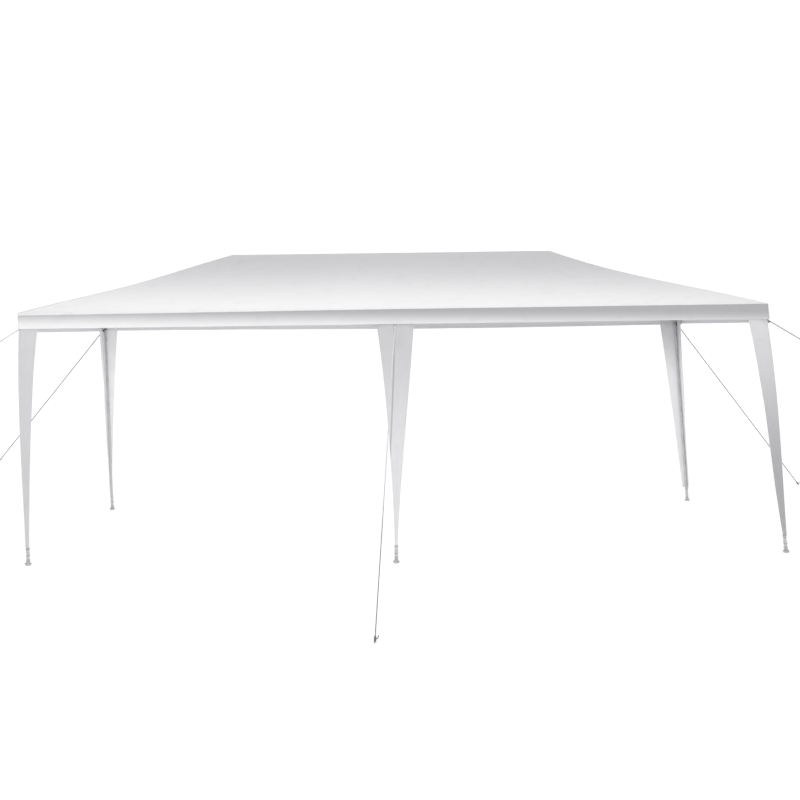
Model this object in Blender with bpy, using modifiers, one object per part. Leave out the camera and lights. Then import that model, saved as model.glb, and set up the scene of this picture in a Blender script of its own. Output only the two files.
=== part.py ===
# Party gazebo, three metres by six: a steel pole frame with six legs under one white cloth cover.
# Metres, +Z up. The origin is on the ground at the middle of the plan, X runs along the long side,
# and -Y is the front.

import math

import bmesh
import bpy
from mathutils import Matrix, Vector

# Cover
HALF_LENGTH = 3.0
HALF_WIDTH = 1.5
EAVE_HEIGHT = 2.02
RIDGE_HEIGHT = 2.552
RIDGE_HALF = 1.455
CLOTH = 0.003
VALANCE_DROP = {"front": 0.122, "rear": 0.150, "left": 0.122, "right": 0.122}
HIP_SAG = {"left": 0.021, "right": 0.032}
HIP_BELLY = {"left": (1.0, 2), "right": (1.6, 1)}
MIDDLE_SAG = 0.012
PANEL_SAG = 0.018
SLOPE_STEPS = 8
RIDGE_STEPS = 6

# Pole frame
TUBE_RADIUS = 0.0125
TUBE_SIDES = 16
LEG_INSET = 0.035
SLEEVE_RADIUS = 0.0163
SLEEVE_SIDES = 16
SLEEVE_START = 0.002
SLEEVE_LENGTH = 0.095
SOCKET_START = 0.038
PAST_MOUTH = 0.105
HUB_RADIUS = 0.018
HUB_CLEARANCE = 0.0012
GAP = 0.0003

# Feet. Nothing holds the legs plumb, so each leans a little its own way.
FOOT_SHIFT = {
    "front_left": (-0.015, -0.025),
    "front_middle": (-0.02, -0.19),
    "front_right": (0.19, -0.025),
    "rear_left": (0.015, 0.035),
    "rear_middle": (0.04, 0.0),
    "rear_right": (0.14, 0.0),
}
BOSS_RADIUS = 0.0168
BOSS_HEIGHT = 0.032
DISH_RADIUS = 0.0295
DISH_RISE = 0.0165
SOLE_RADIUS = 0.020
FOOT_SIDES = 16

# Leg drapes
DRAPE_TOP = 2.01
DRAPE_BEND = 1.868
DRAPE_BOTTOM = 0.145
DRAPE_THICKNESS = 0.0025
DRAPE_STEPS = 6
DRAPE_STANDOFF = 0.018
# Width of a flap at the bottom and at the top, and the power by which it widens in between.
FLAP = {
    "front_left": (0.032, 0.158, 1.1),
    "front_middle": (0.012, 0.161, 1.35),
    "front_right": (0.028, 0.162, 0.84),
    "rear_left": (0.018, 0.163, 1.3),
    "rear_middle": (0.014, 0.155, 1.3),
    "rear_right": (0.055, 0.183, 1.15),
}
# How far a drape bows off the straight line down its leg, along X and Y.
DRAPE_BOW = {
    "front_left": (-0.016, -0.006),
    "front_middle": (0.010, 0.0),
    "front_right": (0.014, -0.006),
    "rear_left": (0.0, 0.0),
    "rear_middle": (0.0, 0.0),
    "rear_right": (0.0, 0.0),
}

# Guy ropes and ground stakes
STAKE_PLACE = {
    "front_left": (-5.36, -3.95),
    "front_middle": (-0.19, -4.10),
    "front_right": (5.3602, -3.85),
    "rear_left": (-4.80, 2.65),
    "rear_middle": (0.08, 4.1027),
    "rear_right": (4.66, 2.553),
}
HOOK_TURN = {
    "front_left": -1,
    "front_middle": 1,
    "front_right": 1,
    "rear_left": 1,
    "rear_middle": -1,
    "rear_right": -1,
}
HOOK_ANGLE = math.radians(65)
ROPE_RADIUS = 0.004
LOOP_RADIUS = 0.003
ROPE_SIDES = 8
LEG_LOOP_STEPS = 16
STAKE_LOOP_STEPS = 12
LOOP_SIDES = 6
ROPE_HEIGHT = {
    "front_left": 1.905,
    "front_middle": 1.893,
    "front_right": 1.897,
    "rear_left": 1.890,
    "rear_middle": 1.856,
    "rear_right": 1.876,
}
EYELET_RADIUS = 0.0065
EYELET_DEPTH = 0.055
EYELET_SIDES = 12
LOOP_GAP = 0.0005
STAKE_RADIUS = 0.0032
STAKE_SIDES = 10
STAKE_FOOT = 0.006
STAKE_LOOP_HEIGHT = 0.013

LEGS = tuple(FOOT_SHIFT)
Z_AXIS = Vector((0.0, 0.0, 1.0))


# Scene and materials

def empty_scene():
    for thing in list(bpy.data.objects):
        bpy.data.objects.remove(thing, do_unlink=True)


def new_collection(name):
    collection = bpy.data.collections.new(name)
    bpy.context.scene.collection.children.link(collection)
    return collection


def principled(name, color, roughness, metallic=0.0):
    material = bpy.data.materials.new(name)
    material.use_nodes = True
    shader = material.node_tree.nodes["Principled BSDF"]
    shader.inputs["Base Color"].default_value = (*color, 1.0)
    shader.inputs["Roughness"].default_value = roughness
    shader.inputs["Metallic"].default_value = metallic
    return material


empty_scene()
PARTS = new_collection("patio_gazebo")
TOOLS = new_collection("gazebo_cutters")

TUBE_STEEL = principled("galvanised_tube", (0.42, 0.42, 0.44), 0.42, 0.85)
JOINT_STEEL = principled("galvanised_connector", (0.36, 0.36, 0.38), 0.45, 0.85)
STAKE_STEEL = principled("stake_wire", (0.30, 0.30, 0.32), 0.40, 0.90)
COVER_CLOTH = principled("cover_cloth", (0.86, 0.86, 0.86), 0.60)
VALANCE_CLOTH = principled("valance_cloth", (0.82, 0.82, 0.82), 0.60)
DRAPE_CLOTH = principled("drape_cloth", (0.74, 0.74, 0.75), 0.65)
ROPE_CORD = principled("guy_rope_cord", (0.36, 0.36, 0.37), 0.80)


# Shape helpers

def add_part(name, data, material):
    part = bpy.data.objects.new(name, data)
    part.data.materials.append(material)
    PARTS.objects.link(part)
    return part


def add_tool(data):
    tool = bpy.data.objects.new("cutter_" + data.name, data)
    tool.hide_render = True
    tool.display_type = "WIRE"
    TOOLS.objects.link(tool)
    return tool


def boolean(part, tool, operation):
    modifier = part.modifiers.new(operation.lower(), "BOOLEAN")
    modifier.object = tool
    modifier.operation = operation


def smooth(mesh):
    mesh.shade_smooth()
    mesh.set_sharp_from_angle(angle=math.radians(40))


def along(start, end):
    """Matrix that lays the Z axis on the line from start to end, centred between them."""
    turn = Z_AXIS.rotation_difference(end - start).to_matrix().to_4x4()
    return Matrix.Translation((start + end) / 2) @ turn


def rod_mesh(name, start, end, radius, sides):
    """A closed round rod between two points."""
    mesh = bpy.data.meshes.new(name)
    shape = bmesh.new()
    bmesh.ops.create_cone(
        shape,
        cap_ends=True,
        segments=sides,
        radius1=radius,
        radius2=radius,
        depth=(end - start).length,
        matrix=along(start, end),
    )
    shape.to_mesh(mesh)
    shape.free()
    return mesh


def tube_curve(name, points, radius, sides):
    """A round bar along a line of points, with filled ends."""
    curve = bpy.data.curves.new(name, "CURVE")
    curve.dimensions = "3D"
    curve.bevel_depth = radius
    curve.bevel_resolution = sides // 2 - 2
    curve.use_fill_caps = True
    spline = curve.splines.new("POLY")
    spline.points.add(len(points) - 1)
    for place, point in zip(spline.points, points):
        place.co = (*point, 1.0)
    return curve


def evaluated_mesh(holder):
    """The closed mesh that a curve, or a mesh with modifiers, makes. The holder itself is removed."""
    bpy.context.scene.collection.objects.link(holder)
    depsgraph = bpy.context.evaluated_depsgraph_get()
    mesh = bpy.data.meshes.new_from_object(holder.evaluated_get(depsgraph))
    bpy.data.objects.remove(holder, do_unlink=True)
    shape = bmesh.new()
    shape.from_mesh(mesh)
    bmesh.ops.remove_doubles(shape, verts=shape.verts, dist=1e-6)
    shape.to_mesh(mesh)
    shape.free()
    mesh.materials.clear()
    return mesh


# Cover shape

def rise(t):
    """Height of the cover at share t of the way from the eave to the ridge, before any sag."""
    return EAVE_HEIGHT + (RIDGE_HEIGHT - EAVE_HEIGHT) * t


def belly(t, skew=1.0, power=2):
    """Share of the sag at t: none at either end. A skew over one moves it nearer the ridge."""
    return math.sin(math.pi * t ** skew) ** power


def hip_x(t):
    return HALF_LENGTH - (HALF_LENGTH - RIDGE_HALF) * t


def cover_height(x, y):
    """Height of the cover's inner face above a point of the plan."""
    side_share = (HALF_WIDTH - abs(y)) / HALF_WIDTH
    end_share = (HALF_LENGTH - abs(x)) / (HALF_LENGTH - RIDGE_HALF)
    t = min(side_share, end_share)
    side = "left" if x < 0.0 else "right"
    hip_sag = HIP_SAG[side] * belly(t, *HIP_BELLY[side])
    middle_sag = MIDDLE_SAG * belly(t)
    panel_sag = PANEL_SAG * belly(t)
    if side_share <= end_share:
        outward = abs(x) / hip_x(t)
        sag = middle_sag + (hip_sag - middle_sag) * outward + panel_sag * 4 * outward * (1 - outward)
    else:
        outward = abs(y) / (HALF_WIDTH * (1 - t))
        sag = hip_sag + panel_sag * (1 - outward ** 2)
    return rise(t) - sag


def cover_column(column):
    """Distance from the middle of the cover to a column of its grid."""
    if column <= RIDGE_STEPS:
        return RIDGE_HALF * column / RIDGE_STEPS
    return RIDGE_HALF + (HALF_LENGTH - RIDGE_HALF) * (column - RIDGE_STEPS) / SLOPE_STEPS


def make_cover():
    """One sheet over the whole frame, folded on its hips and ridge, hanging a little between poles."""
    columns = RIDGE_STEPS + SLOPE_STEPS
    bpy.ops.mesh.primitive_grid_add(
        x_subdivisions=2 * columns, y_subdivisions=2 * SLOPE_STEPS, size=2.0
    )
    grid = bpy.context.object
    shape = bmesh.new()
    shape.from_mesh(grid.data)
    bpy.data.objects.remove(grid, do_unlink=True)
    cell = {}
    for vertex in shape.verts:
        column = round(vertex.co.x * columns)
        row = round(vertex.co.y * SLOPE_STEPS)
        cell[column, row] = vertex
        x = math.copysign(cover_column(abs(column)), column)
        y = HALF_WIDTH * row / SLOPE_STEPS
        vertex.co = (x, y, cover_height(x, y))
    for face in list(shape.faces):
        corners = {vertex: key for key, vertex in cell.items() if vertex in face.verts}
        on_hip = [v for v, (column, row) in corners.items() if abs(column) - RIDGE_STEPS == abs(row)]
        if len(on_hip) == 2:
            bmesh.utils.face_split(face, on_hip[0], on_hip[1])
    mesh = bpy.data.meshes.new("roof_cover")
    shape.to_mesh(mesh)
    shape.free()
    cover = add_part("roof_cover", mesh, COVER_CLOTH)
    wall = cover.modifiers.new("cloth", "SOLIDIFY")
    wall.thickness = CLOTH
    wall.offset = 1.0
    wall.use_even_offset = True


def make_valances():
    """Four hanging strips under the cover's edge. The long ones run past the ends of the short ones."""
    top = EAVE_HEIGHT - GAP
    short_half = HALF_WIDTH - CLOTH - GAP
    strips = {
        "front_valance": ((0.0, CLOTH / 2 - HALF_WIDTH), (HALF_LENGTH, CLOTH / 2)),
        "rear_valance": ((0.0, HALF_WIDTH - CLOTH / 2), (HALF_LENGTH, CLOTH / 2)),
        "left_valance": ((CLOTH / 2 - HALF_LENGTH, 0.0), (CLOTH / 2, short_half)),
        "right_valance": ((HALF_LENGTH - CLOTH / 2, 0.0), (CLOTH / 2, short_half)),
    }
    for name, (centre, half) in strips.items():
        bottom = EAVE_HEIGHT - VALANCE_DROP[name.split("_")[0]]
        mesh = bpy.data.meshes.new(name)
        shape = bmesh.new()
        bmesh.ops.create_cube(shape, size=2.0)
        bmesh.ops.scale(shape, vec=(*half, (top - bottom) / 2), verts=shape.verts)
        shape.to_mesh(mesh)
        shape.free()
        strip = add_part(name, mesh, VALANCE_CLOTH)
        strip.location = (*centre, (top + bottom) / 2)


# Pole frame

# How far a pole's centre line lies under the crease or panel that it carries. The clearance is
# more than a gap, because the cloth steepens towards the ridge and closes in on the hubs there.
SLOPE_ANGLE = math.atan((RIDGE_HEIGHT - EAVE_HEIGHT) / HALF_WIDTH)
POLE_DROP = (HUB_RADIUS + HUB_CLEARANCE) / math.cos(SLOPE_ANGLE)
LEG_SHARE = LEG_INSET / HALF_WIDTH
LEG_X = hip_x(LEG_SHARE)
LEG_Y = HALF_WIDTH - LEG_INSET
FRAME_HEIGHT = rise(LEG_SHARE) - POLE_DROP
RIDGE_POLE_HEIGHT = RIDGE_HEIGHT - POLE_DROP


def side_signs(name):
    """Which way a leg lies: -1, 0 or 1 along X, and -1 or 1 along Y."""
    across = {"left": -1, "middle": 0, "right": 1}
    return across[name.split("_")[1]], -1 if name.startswith("front") else 1


def leg_head(name):
    sign_x, sign_y = side_signs(name)
    return Vector((sign_x * LEG_X, sign_y * LEG_Y, FRAME_HEIGHT))


def leg_foot(name):
    head = leg_head(name)
    shift_x, shift_y = FOOT_SHIFT[name]
    return Vector((head.x + shift_x, head.y + shift_y, 0.0))


def leg_point(name, height):
    """The leg's centre line at a height."""
    return leg_foot(name).lerp(leg_head(name), height / FRAME_HEIGHT)


def ridge_node(sign_x):
    return Vector((sign_x * RIDGE_HALF, 0.0, RIDGE_POLE_HEIGHT))


def rafter_line(name):
    """Points of a rafter's centre line, from the leg's head to the ridge."""
    sign_x, sign_y = side_signs(name)
    points = [leg_head(name)]
    for step in range(1, SLOPE_STEPS):
        t = step / SLOPE_STEPS
        x = sign_x * hip_x(t)
        y = sign_y * HALF_WIDTH * (1 - t)
        points.append(Vector((x, y, cover_height(x, y) - POLE_DROP)))
    points.append(ridge_node(sign_x))
    return points


def socketed(points):
    """The same line, with both ends stopped just short of the bottom of their sockets."""
    inset = SOCKET_START + GAP
    first = points[0] + (points[1] - points[0]).normalized() * inset
    last = points[-1] + (points[-2] - points[-1]).normalized() * inset
    return [first, *points[1:-1], last]


def make_tube(name, points):
    return add_part(name, tube_curve(name, socketed(points), TUBE_RADIUS, TUBE_SIDES), TUBE_STEEL)


def foot_mesh():
    """A turned foot: a boss that takes the pole and a shallow dish that turns up at its rim."""
    profile = (
        (0.0, BOSS_HEIGHT),
        (BOSS_RADIUS, BOSS_HEIGHT),
        (BOSS_RADIUS, 0.007),
        (DISH_RADIUS - 0.001, DISH_RISE),
        (DISH_RADIUS, DISH_RISE - 0.002),
        (SOLE_RADIUS, 0.0),
        (0.0, 0.0),
    )
    mesh = bpy.data.meshes.new("foot_profile")
    edges = [(i, i + 1) for i in range(len(profile) - 1)]
    mesh.from_pydata([(r, 0.0, z) for r, z in profile], edges, [])
    turned = bpy.data.objects.new("foot_profile", mesh)
    screw = turned.modifiers.new("turn", "SCREW")
    screw.steps = FOOT_SIDES
    screw.render_steps = FOOT_SIDES
    screw.use_merge_vertices = True
    screw.merge_threshold = 1e-5
    return evaluated_mesh(turned)


def make_leg(name):
    """A straight pole, welded into its foot and pushed up into the connector."""
    head = leg_head(name)
    foot = leg_foot(name)
    direction = (head - foot).normalized()
    top = head - direction * (SOCKET_START + GAP)
    bottom = leg_point(name, BOSS_HEIGHT / 4)
    pole = rod_mesh(name, bottom, top, TUBE_RADIUS, TUBE_SIDES)
    smooth(pole)
    leg = add_part(name + "_leg", pole, TUBE_STEEL)
    sole = foot_mesh()
    sole.transform(Matrix.Translation(foot))
    boolean(leg, add_tool(sole), "UNION")


def make_connector(name, node, directions):
    """A hub with one sleeve for each pole that meets there."""
    mesh = bpy.data.meshes.new(name)
    shape = bmesh.new()
    bmesh.ops.create_uvsphere(
        shape,
        u_segments=SLEEVE_SIDES,
        v_segments=SLEEVE_SIDES // 2,
        radius=HUB_RADIUS,
        matrix=Matrix.Translation(node),
    )
    shape.to_mesh(mesh)
    shape.free()
    smooth(mesh)
    hub = add_part(name, mesh, JOINT_STEEL)
    socket_radius = (TUBE_RADIUS + GAP) / math.cos(math.pi / SLEEVE_SIDES)
    for direction in directions:
        reach = direction.normalized()
        mouth = node + reach * SLEEVE_LENGTH
        sleeve = rod_mesh(name, node + reach * SLEEVE_START, mouth, SLEEVE_RADIUS, SLEEVE_SIDES)
        boolean(hub, add_tool(sleeve), "UNION")
    for direction in directions:
        reach = direction.normalized()
        outside = node + reach * PAST_MOUTH
        socket = rod_mesh(name, node + reach * SOCKET_START, outside, socket_radius, SLEEVE_SIDES)
        boolean(hub, add_tool(socket), "DIFFERENCE")


def make_frame():
    """Six legs, the ring of eave tubes, the rafters and the ridge, with their connectors."""
    for row in ("front", "rear"):
        left, middle, right = (leg_head(f"{row}_{side}") for side in ("left", "middle", "right"))
        make_tube(f"{row}_left_eave_tube", [left, middle])
        make_tube(f"{row}_right_eave_tube", [middle, right])
    for side, sign_x in (("left", -1), ("right", 1)):
        make_tube(f"{side}_end_tube", [leg_head(f"front_{side}"), leg_head(f"rear_{side}")])
        make_tube(f"{side}_ridge_tube", [ridge_node(0), ridge_node(sign_x)])
    for name in LEGS:
        make_leg(name)
        kind = "rafter" if name.endswith("middle") else "hip_rafter"
        make_tube(f"{name}_{kind}", rafter_line(name))
        make_leg_connector(name)
    make_ridge_connectors()


def make_leg_connector(name):
    """The connector on a leg's head: a corner one takes two eave tubes at a right angle."""
    sign_x, sign_y = side_signs(name)
    head = leg_head(name)
    down = leg_foot(name) - head
    line = rafter_line(name)
    upslope = line[1] - line[0]
    if sign_x == 0:
        level = [Vector((-1.0, 0.0, 0.0)), Vector((1.0, 0.0, 0.0))]
        make_connector(f"{name}_connector", head, [down, *level, upslope])
    else:
        level = [Vector((-sign_x, 0.0, 0.0)), Vector((0.0, -sign_y, 0.0))]
        make_connector(f"{name}_corner_connector", head, [down, *level, upslope])


def make_ridge_connectors():
    for side, sign_x in (("left", -1), ("middle", 0), ("right", 1)):
        node = ridge_node(sign_x)
        directions = [Vector((step, 0.0, 0.0)) for step in (-1.0, 1.0) if step != sign_x]
        for row in ("front", "rear"):
            line = rafter_line(f"{row}_{side}")
            directions.append(line[-2] - line[-1])
        make_connector(f"{side}_ridge_connector", node, directions)


# Leg drapes

def flap_width(name, height):
    """Width of one flap of a leg drape at a height: wide at the eave, a narrow strip at the bottom."""
    bottom, top, power = FLAP[name]
    share = (height - DRAPE_BOTTOM) / (DRAPE_TOP - DRAPE_BOTTOM)
    return bottom + (top - bottom) * share ** power


def drape_heights():
    """Heights of the drape's rows: straight behind the valance, then even steps down the leg."""
    steps = DRAPE_STEPS - 1
    below = [DRAPE_BEND + (DRAPE_BOTTOM - DRAPE_BEND) * step / steps for step in range(steps + 1)]
    return [DRAPE_TOP, *below]


def drape_spine(name, height):
    """The fold that runs down the outside of the leg, at the middle of the cloth's thickness."""
    sign_x, sign_y = side_signs(name)
    inset = CLOTH + GAP + DRAPE_THICKNESS / 2
    top = Vector((sign_x * (HALF_LENGTH - inset), sign_y * (HALF_WIDTH - inset), height))
    if height >= DRAPE_BEND:
        return top
    out = DRAPE_STANDOFF - DRAPE_THICKNESS / 2
    low = leg_point(name, DRAPE_BOTTOM) + Vector((sign_x * out, sign_y * out, 0.0))
    share = (height - DRAPE_BOTTOM) / (DRAPE_BEND - DRAPE_BOTTOM)
    bow = max(math.sin(math.pi * share ** 1.5), 0.0) ** 0.8
    spine = low.lerp(top, share) + Vector((*DRAPE_BOW[name], 0.0)) * bow
    spine.z = height
    return spine


def make_drape(name, hole):
    """A cloth strip down the outside of a leg, folded round it at a corner, with the rope's eyelet."""
    sign_x, sign_y = side_signs(name)
    bpy.ops.mesh.primitive_grid_add(x_subdivisions=2, y_subdivisions=DRAPE_STEPS, size=2.0)
    grid = bpy.context.object
    mesh = grid.data
    bpy.data.objects.remove(grid, do_unlink=True)
    mesh.name = name + "_leg_drape"
    heights = drape_heights()
    for vertex in mesh.vertices:
        row = round((1.0 - vertex.co.y) / 2 * DRAPE_STEPS)
        height = heights[row]
        flap = round(vertex.co.x)
        width = flap_width(name, height)
        place = drape_spine(name, height)
        if sign_x == 0:
            place.x += flap * width
        elif flap == 1:
            place.x -= sign_x * width
        elif flap == -1:
            place.y -= sign_y * width
        vertex.co = place
    drape = add_part(mesh.name, mesh, DRAPE_CLOTH)
    wall = drape.modifiers.new("cloth", "SOLIDIFY")
    wall.thickness = DRAPE_THICKNESS
    wall.offset = 0.0
    wall.use_even_offset = True
    boolean(drape, add_tool(hole), "DIFFERENCE")


# Guy ropes and stakes

def outward(name):
    """Level direction from a leg's head to its stake."""
    head = leg_head(name)
    stake_x, stake_y = STAKE_PLACE[name]
    return Vector((stake_x - head.x, stake_y - head.y, 0.0)).normalized()


def stake_points(name):
    """The bent wire that stands out of the ground: a short leaning shank and an upturned hook."""
    outline = (
        (0.0, 0.0),
        (0.0, STAKE_FOOT),
        (0.009, 0.021),
        (0.015, 0.027),
        (0.022, 0.033),
        (0.027, 0.041),
        (0.029, 0.051),
    )
    away = outward(name)
    side = Vector((-away.y, away.x, 0.0)) * HOOK_TURN[name]
    lean = away * math.cos(HOOK_ANGLE) + side * math.sin(HOOK_ANGLE)
    base = Vector((*STAKE_PLACE[name], 0.0))
    return [base + lean * reach + Z_AXIS * height for reach, height in outline]


def ring_mesh(name, centre, axis, bar_radius, segments):
    """A rope's loop round a bar, standing a little clear of it."""
    major = bar_radius + LOOP_GAP + LOOP_RADIUS
    bpy.ops.mesh.primitive_torus_add(
        major_radius=major, minor_radius=LOOP_RADIUS, major_segments=segments, minor_segments=LOOP_SIDES
    )
    torus = bpy.context.object
    mesh = torus.data
    bpy.data.objects.remove(torus, do_unlink=True)
    mesh.name = name
    turn = Z_AXIS.rotation_difference(axis).to_matrix().to_4x4()
    mesh.transform(Matrix.Translation(centre) @ turn)
    return mesh


def loop_edge(centre, axis, bar_radius, target):
    """The point of a loop's centre line that faces a target."""
    towards = target - centre
    flat = towards - axis * towards.dot(axis)
    return centre + flat.normalized() * (bar_radius + LOOP_GAP + LOOP_RADIUS)


def make_guy(name):
    """A taut rope from a loop round the leg, through the drape's eyelet, to a loop round the stake."""
    leg_axis = (leg_head(name) - leg_foot(name)).normalized()
    leg_centre = leg_point(name, ROPE_HEIGHT[name])
    points = stake_points(name)
    shank = points[2] - points[1]
    stake_axis = shank.normalized()
    rise_share = (STAKE_LOOP_HEIGHT - points[1].z) / shank.z
    stake_centre = points[1] + shank * rise_share
    start = loop_edge(leg_centre, leg_axis, TUBE_RADIUS, stake_centre)
    end = loop_edge(stake_centre, stake_axis, STAKE_RADIUS, leg_centre)
    line = rod_mesh(name, start, end, ROPE_RADIUS, ROPE_SIDES)
    smooth(line)
    rope = add_part(name + "_guy_rope", line, ROPE_CORD)
    leg_loop = ring_mesh(name, leg_centre, leg_axis, TUBE_RADIUS, LEG_LOOP_STEPS)
    stake_loop = ring_mesh(name, stake_centre, stake_axis, STAKE_RADIUS, STAKE_LOOP_STEPS)
    boolean(rope, add_tool(leg_loop), "UNION")
    boolean(rope, add_tool(stake_loop), "UNION")
    add_part(name + "_stake", tube_curve(name, points, STAKE_RADIUS, STAKE_SIDES), STAKE_STEEL)
    pull = (end - start).normalized()
    return rod_mesh(name, start, start + pull * EYELET_DEPTH, EYELET_RADIUS, EYELET_SIDES)


make_frame()
make_cover()
make_valances()
for leg_name in LEGS:
    eyelet_hole = make_guy(leg_name)
    make_drape(leg_name, eyelet_hole)
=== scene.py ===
# %% [markdown]
# # A party gazebo, dressed over its frame
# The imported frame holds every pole, connector, rope and stake as a plain solid in its true place.
# This lesson dresses it: each cell takes one kind of piece, from the cloth cover down to the
# ground stakes, makes it as it is on a real gazebo, and gives it a finish made of shader nodes.
# Everything is in metres, X runs along the long side, -Y is the front and +Z is up.

# %% Load the frame
import math

import bmesh
import bpy
from mathutils import Matrix, Vector, noise


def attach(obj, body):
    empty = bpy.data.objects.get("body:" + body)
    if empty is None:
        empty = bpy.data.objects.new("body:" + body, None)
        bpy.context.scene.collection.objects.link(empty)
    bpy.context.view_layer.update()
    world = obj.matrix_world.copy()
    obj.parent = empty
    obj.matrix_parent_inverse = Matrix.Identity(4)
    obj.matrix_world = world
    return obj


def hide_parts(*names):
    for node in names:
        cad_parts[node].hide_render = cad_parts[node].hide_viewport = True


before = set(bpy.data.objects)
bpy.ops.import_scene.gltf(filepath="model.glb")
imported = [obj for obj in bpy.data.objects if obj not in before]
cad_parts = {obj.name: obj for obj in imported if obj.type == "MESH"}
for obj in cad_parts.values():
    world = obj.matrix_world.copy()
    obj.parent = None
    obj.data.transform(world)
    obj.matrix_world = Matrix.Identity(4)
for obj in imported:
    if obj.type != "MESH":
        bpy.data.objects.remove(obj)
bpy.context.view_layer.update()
print("nodes in the frame:", len(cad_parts))

# %% [markdown]
# The same few sizes decide the cover, the poles and the drapes, so they are named once. The sag
# numbers say how far the cloth hangs below a straight line between the eave and the ridge: it
# hangs deeper over the right-hand hips than over the left-hand ones.

# %% Driving sizes
HALF_LENGTH = 3.0
HALF_WIDTH = 1.5
EAVE_HEIGHT = 2.02
RIDGE_HEIGHT = 2.552
RIDGE_HALF = 1.455
HIP_SAG = {"left": 0.021, "right": 0.032}
MIDDLE_SAG = 0.012
PANEL_SAG = 0.018
HIP_BELLY = {"left": (1.0, 2), "right": (1.6, 1)}
STRAIGHT_SHARE = 1 / 8
TUBE_RADIUS = 0.0125
SLEEVE_RADIUS = 0.0163
HUB_RADIUS = 0.018
HUB_CLEARANCE = 0.0012
LEG_INSET = 0.035
FOOT_SHIFT = {
    "front_left": (-0.015, -0.025),
    "front_middle": (-0.02, -0.19),
    "front_right": (0.19, -0.025),
    "rear_left": (0.015, 0.035),
    "rear_middle": (0.04, 0.0),
    "rear_right": (0.14, 0.0),
}
LEGS = tuple(FOOT_SHIFT)
MM = 0.001
SLOPE_ANGLE = math.atan((RIDGE_HEIGHT - EAVE_HEIGHT) / HALF_WIDTH)
POLE_DROP = (HUB_RADIUS + HUB_CLEARANCE) / math.cos(SLOPE_ANGLE)
LEG_SHARE = LEG_INSET / HALF_WIDTH
LEG_X = HALF_LENGTH - (HALF_LENGTH - RIDGE_HALF) * LEG_SHARE
LEG_Y = HALF_WIDTH - LEG_INSET
FRAME_HEIGHT = EAVE_HEIGHT + (RIDGE_HEIGHT - EAVE_HEIGHT) * LEG_SHARE - POLE_DROP
RIDGE_POLE_HEIGHT = RIDGE_HEIGHT - POLE_DROP
print(f"leg heads at x {LEG_X:.4f}, y {LEG_Y:.4f}, z {FRAME_HEIGHT:.4f}")

# %% [markdown]
# The camera stands about ten metres in front of the gazebo, a little under the eave's height and
# almost level. Its place and turn were worked out from the feet, the eave and the ridge, so the
# render can be laid over the photograph. The focal length is given in pixels of an image 800
# pixels wide, and becomes millimetres on Blender's 36 mm sensor.

# %% Camera
PHOTO_WIDTH = 800
FOCAL_PIXELS = 1216.48
SENSOR_WIDTH = 36.0
CAMERA_PLACE = Vector((-0.15175, -11.23328, 1.87371))
YAW = 0.01861
PITCH = -0.05999
ROLL = -0.01351


def camera_matrix():
    forward = Vector((math.sin(YAW) * math.cos(PITCH), math.cos(YAW) * math.cos(PITCH), math.sin(PITCH)))
    level = Vector((math.cos(YAW), -math.sin(YAW), 0.0))
    upright = level.cross(forward)
    right = level * math.cos(ROLL) + upright * math.sin(ROLL)
    up = upright * math.cos(ROLL) - level * math.sin(ROLL)
    turn = Matrix((right, up, -forward)).transposed().to_4x4()
    return Matrix.Translation(CAMERA_PLACE) @ turn


camera_data = bpy.data.cameras.new("photo_camera")
camera_data.sensor_width = SENSOR_WIDTH
camera_data.lens = FOCAL_PIXELS * SENSOR_WIDTH / PHOTO_WIDTH
camera_data.clip_end = 400.0
camera = bpy.data.objects.new("photo_camera", camera_data)
camera.matrix_world = camera_matrix()
bpy.context.scene.collection.objects.link(camera)
bpy.context.scene.camera = camera
print(f"camera lens {camera_data.lens:.2f} mm")

# %% [markdown]
# Node trees are long to write out link by link. One helper adds a node, sets its properties and
# fills its sockets: a socket that is given another node's output is linked, and any other value
# becomes its default. It serves the shader trees and the Geometry Nodes trees alike.

# %% Node helpers
def find_socket(sockets, key):
    if isinstance(key, int):
        return sockets[key]
    for socket in sockets:
        if socket.identifier == key:
            return socket
    return sockets[key]


def add_node(tree, kind, inputs=None, **settings):
    node = tree.nodes.new(kind)
    for name, value in settings.items():
        setattr(node, name, value)
    for key, value in (inputs or {}).items():
        socket = find_socket(node.inputs, key)
        if isinstance(value, bpy.types.NodeSocket):
            tree.links.new(value, socket)
        else:
            socket.default_value = value
    return node


def math_node(tree, operation, first, second=0.0, third=0.0):
    sockets = {0: first, 1: second, 2: third}
    return add_node(tree, "ShaderNodeMath", sockets, operation=operation).outputs[0]


def ramp(tree, value, low, high, to_low, to_high):
    """Map a value between low and high onto to_low..to_high, smoothly, and clamp it there."""
    sockets = {"Value": value, "From Min": low, "From Max": high, "To Min": to_low, "To Max": to_high}
    return add_node(tree, "ShaderNodeMapRange", sockets, interpolation_type="SMOOTHSTEP").outputs[0]


# %% [markdown]
# The gazebo stands in a white studio. The sky of the studio is brightest at the horizon and
# greyer overhead, a wide soft box hangs above, and a long strip light hangs low over the front
# eave, so that the cover is brightest near the eave and falls off towards the ridge. The lights
# are hidden from the camera, and the floor glows a little, more so further out, like a sweep of
# paper lit from below.

# %% Studio
HORIZON_LIGHT = 1.05
ZENITH_LIGHT = 0.42
FLOOR_HALF = 150.0


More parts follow.
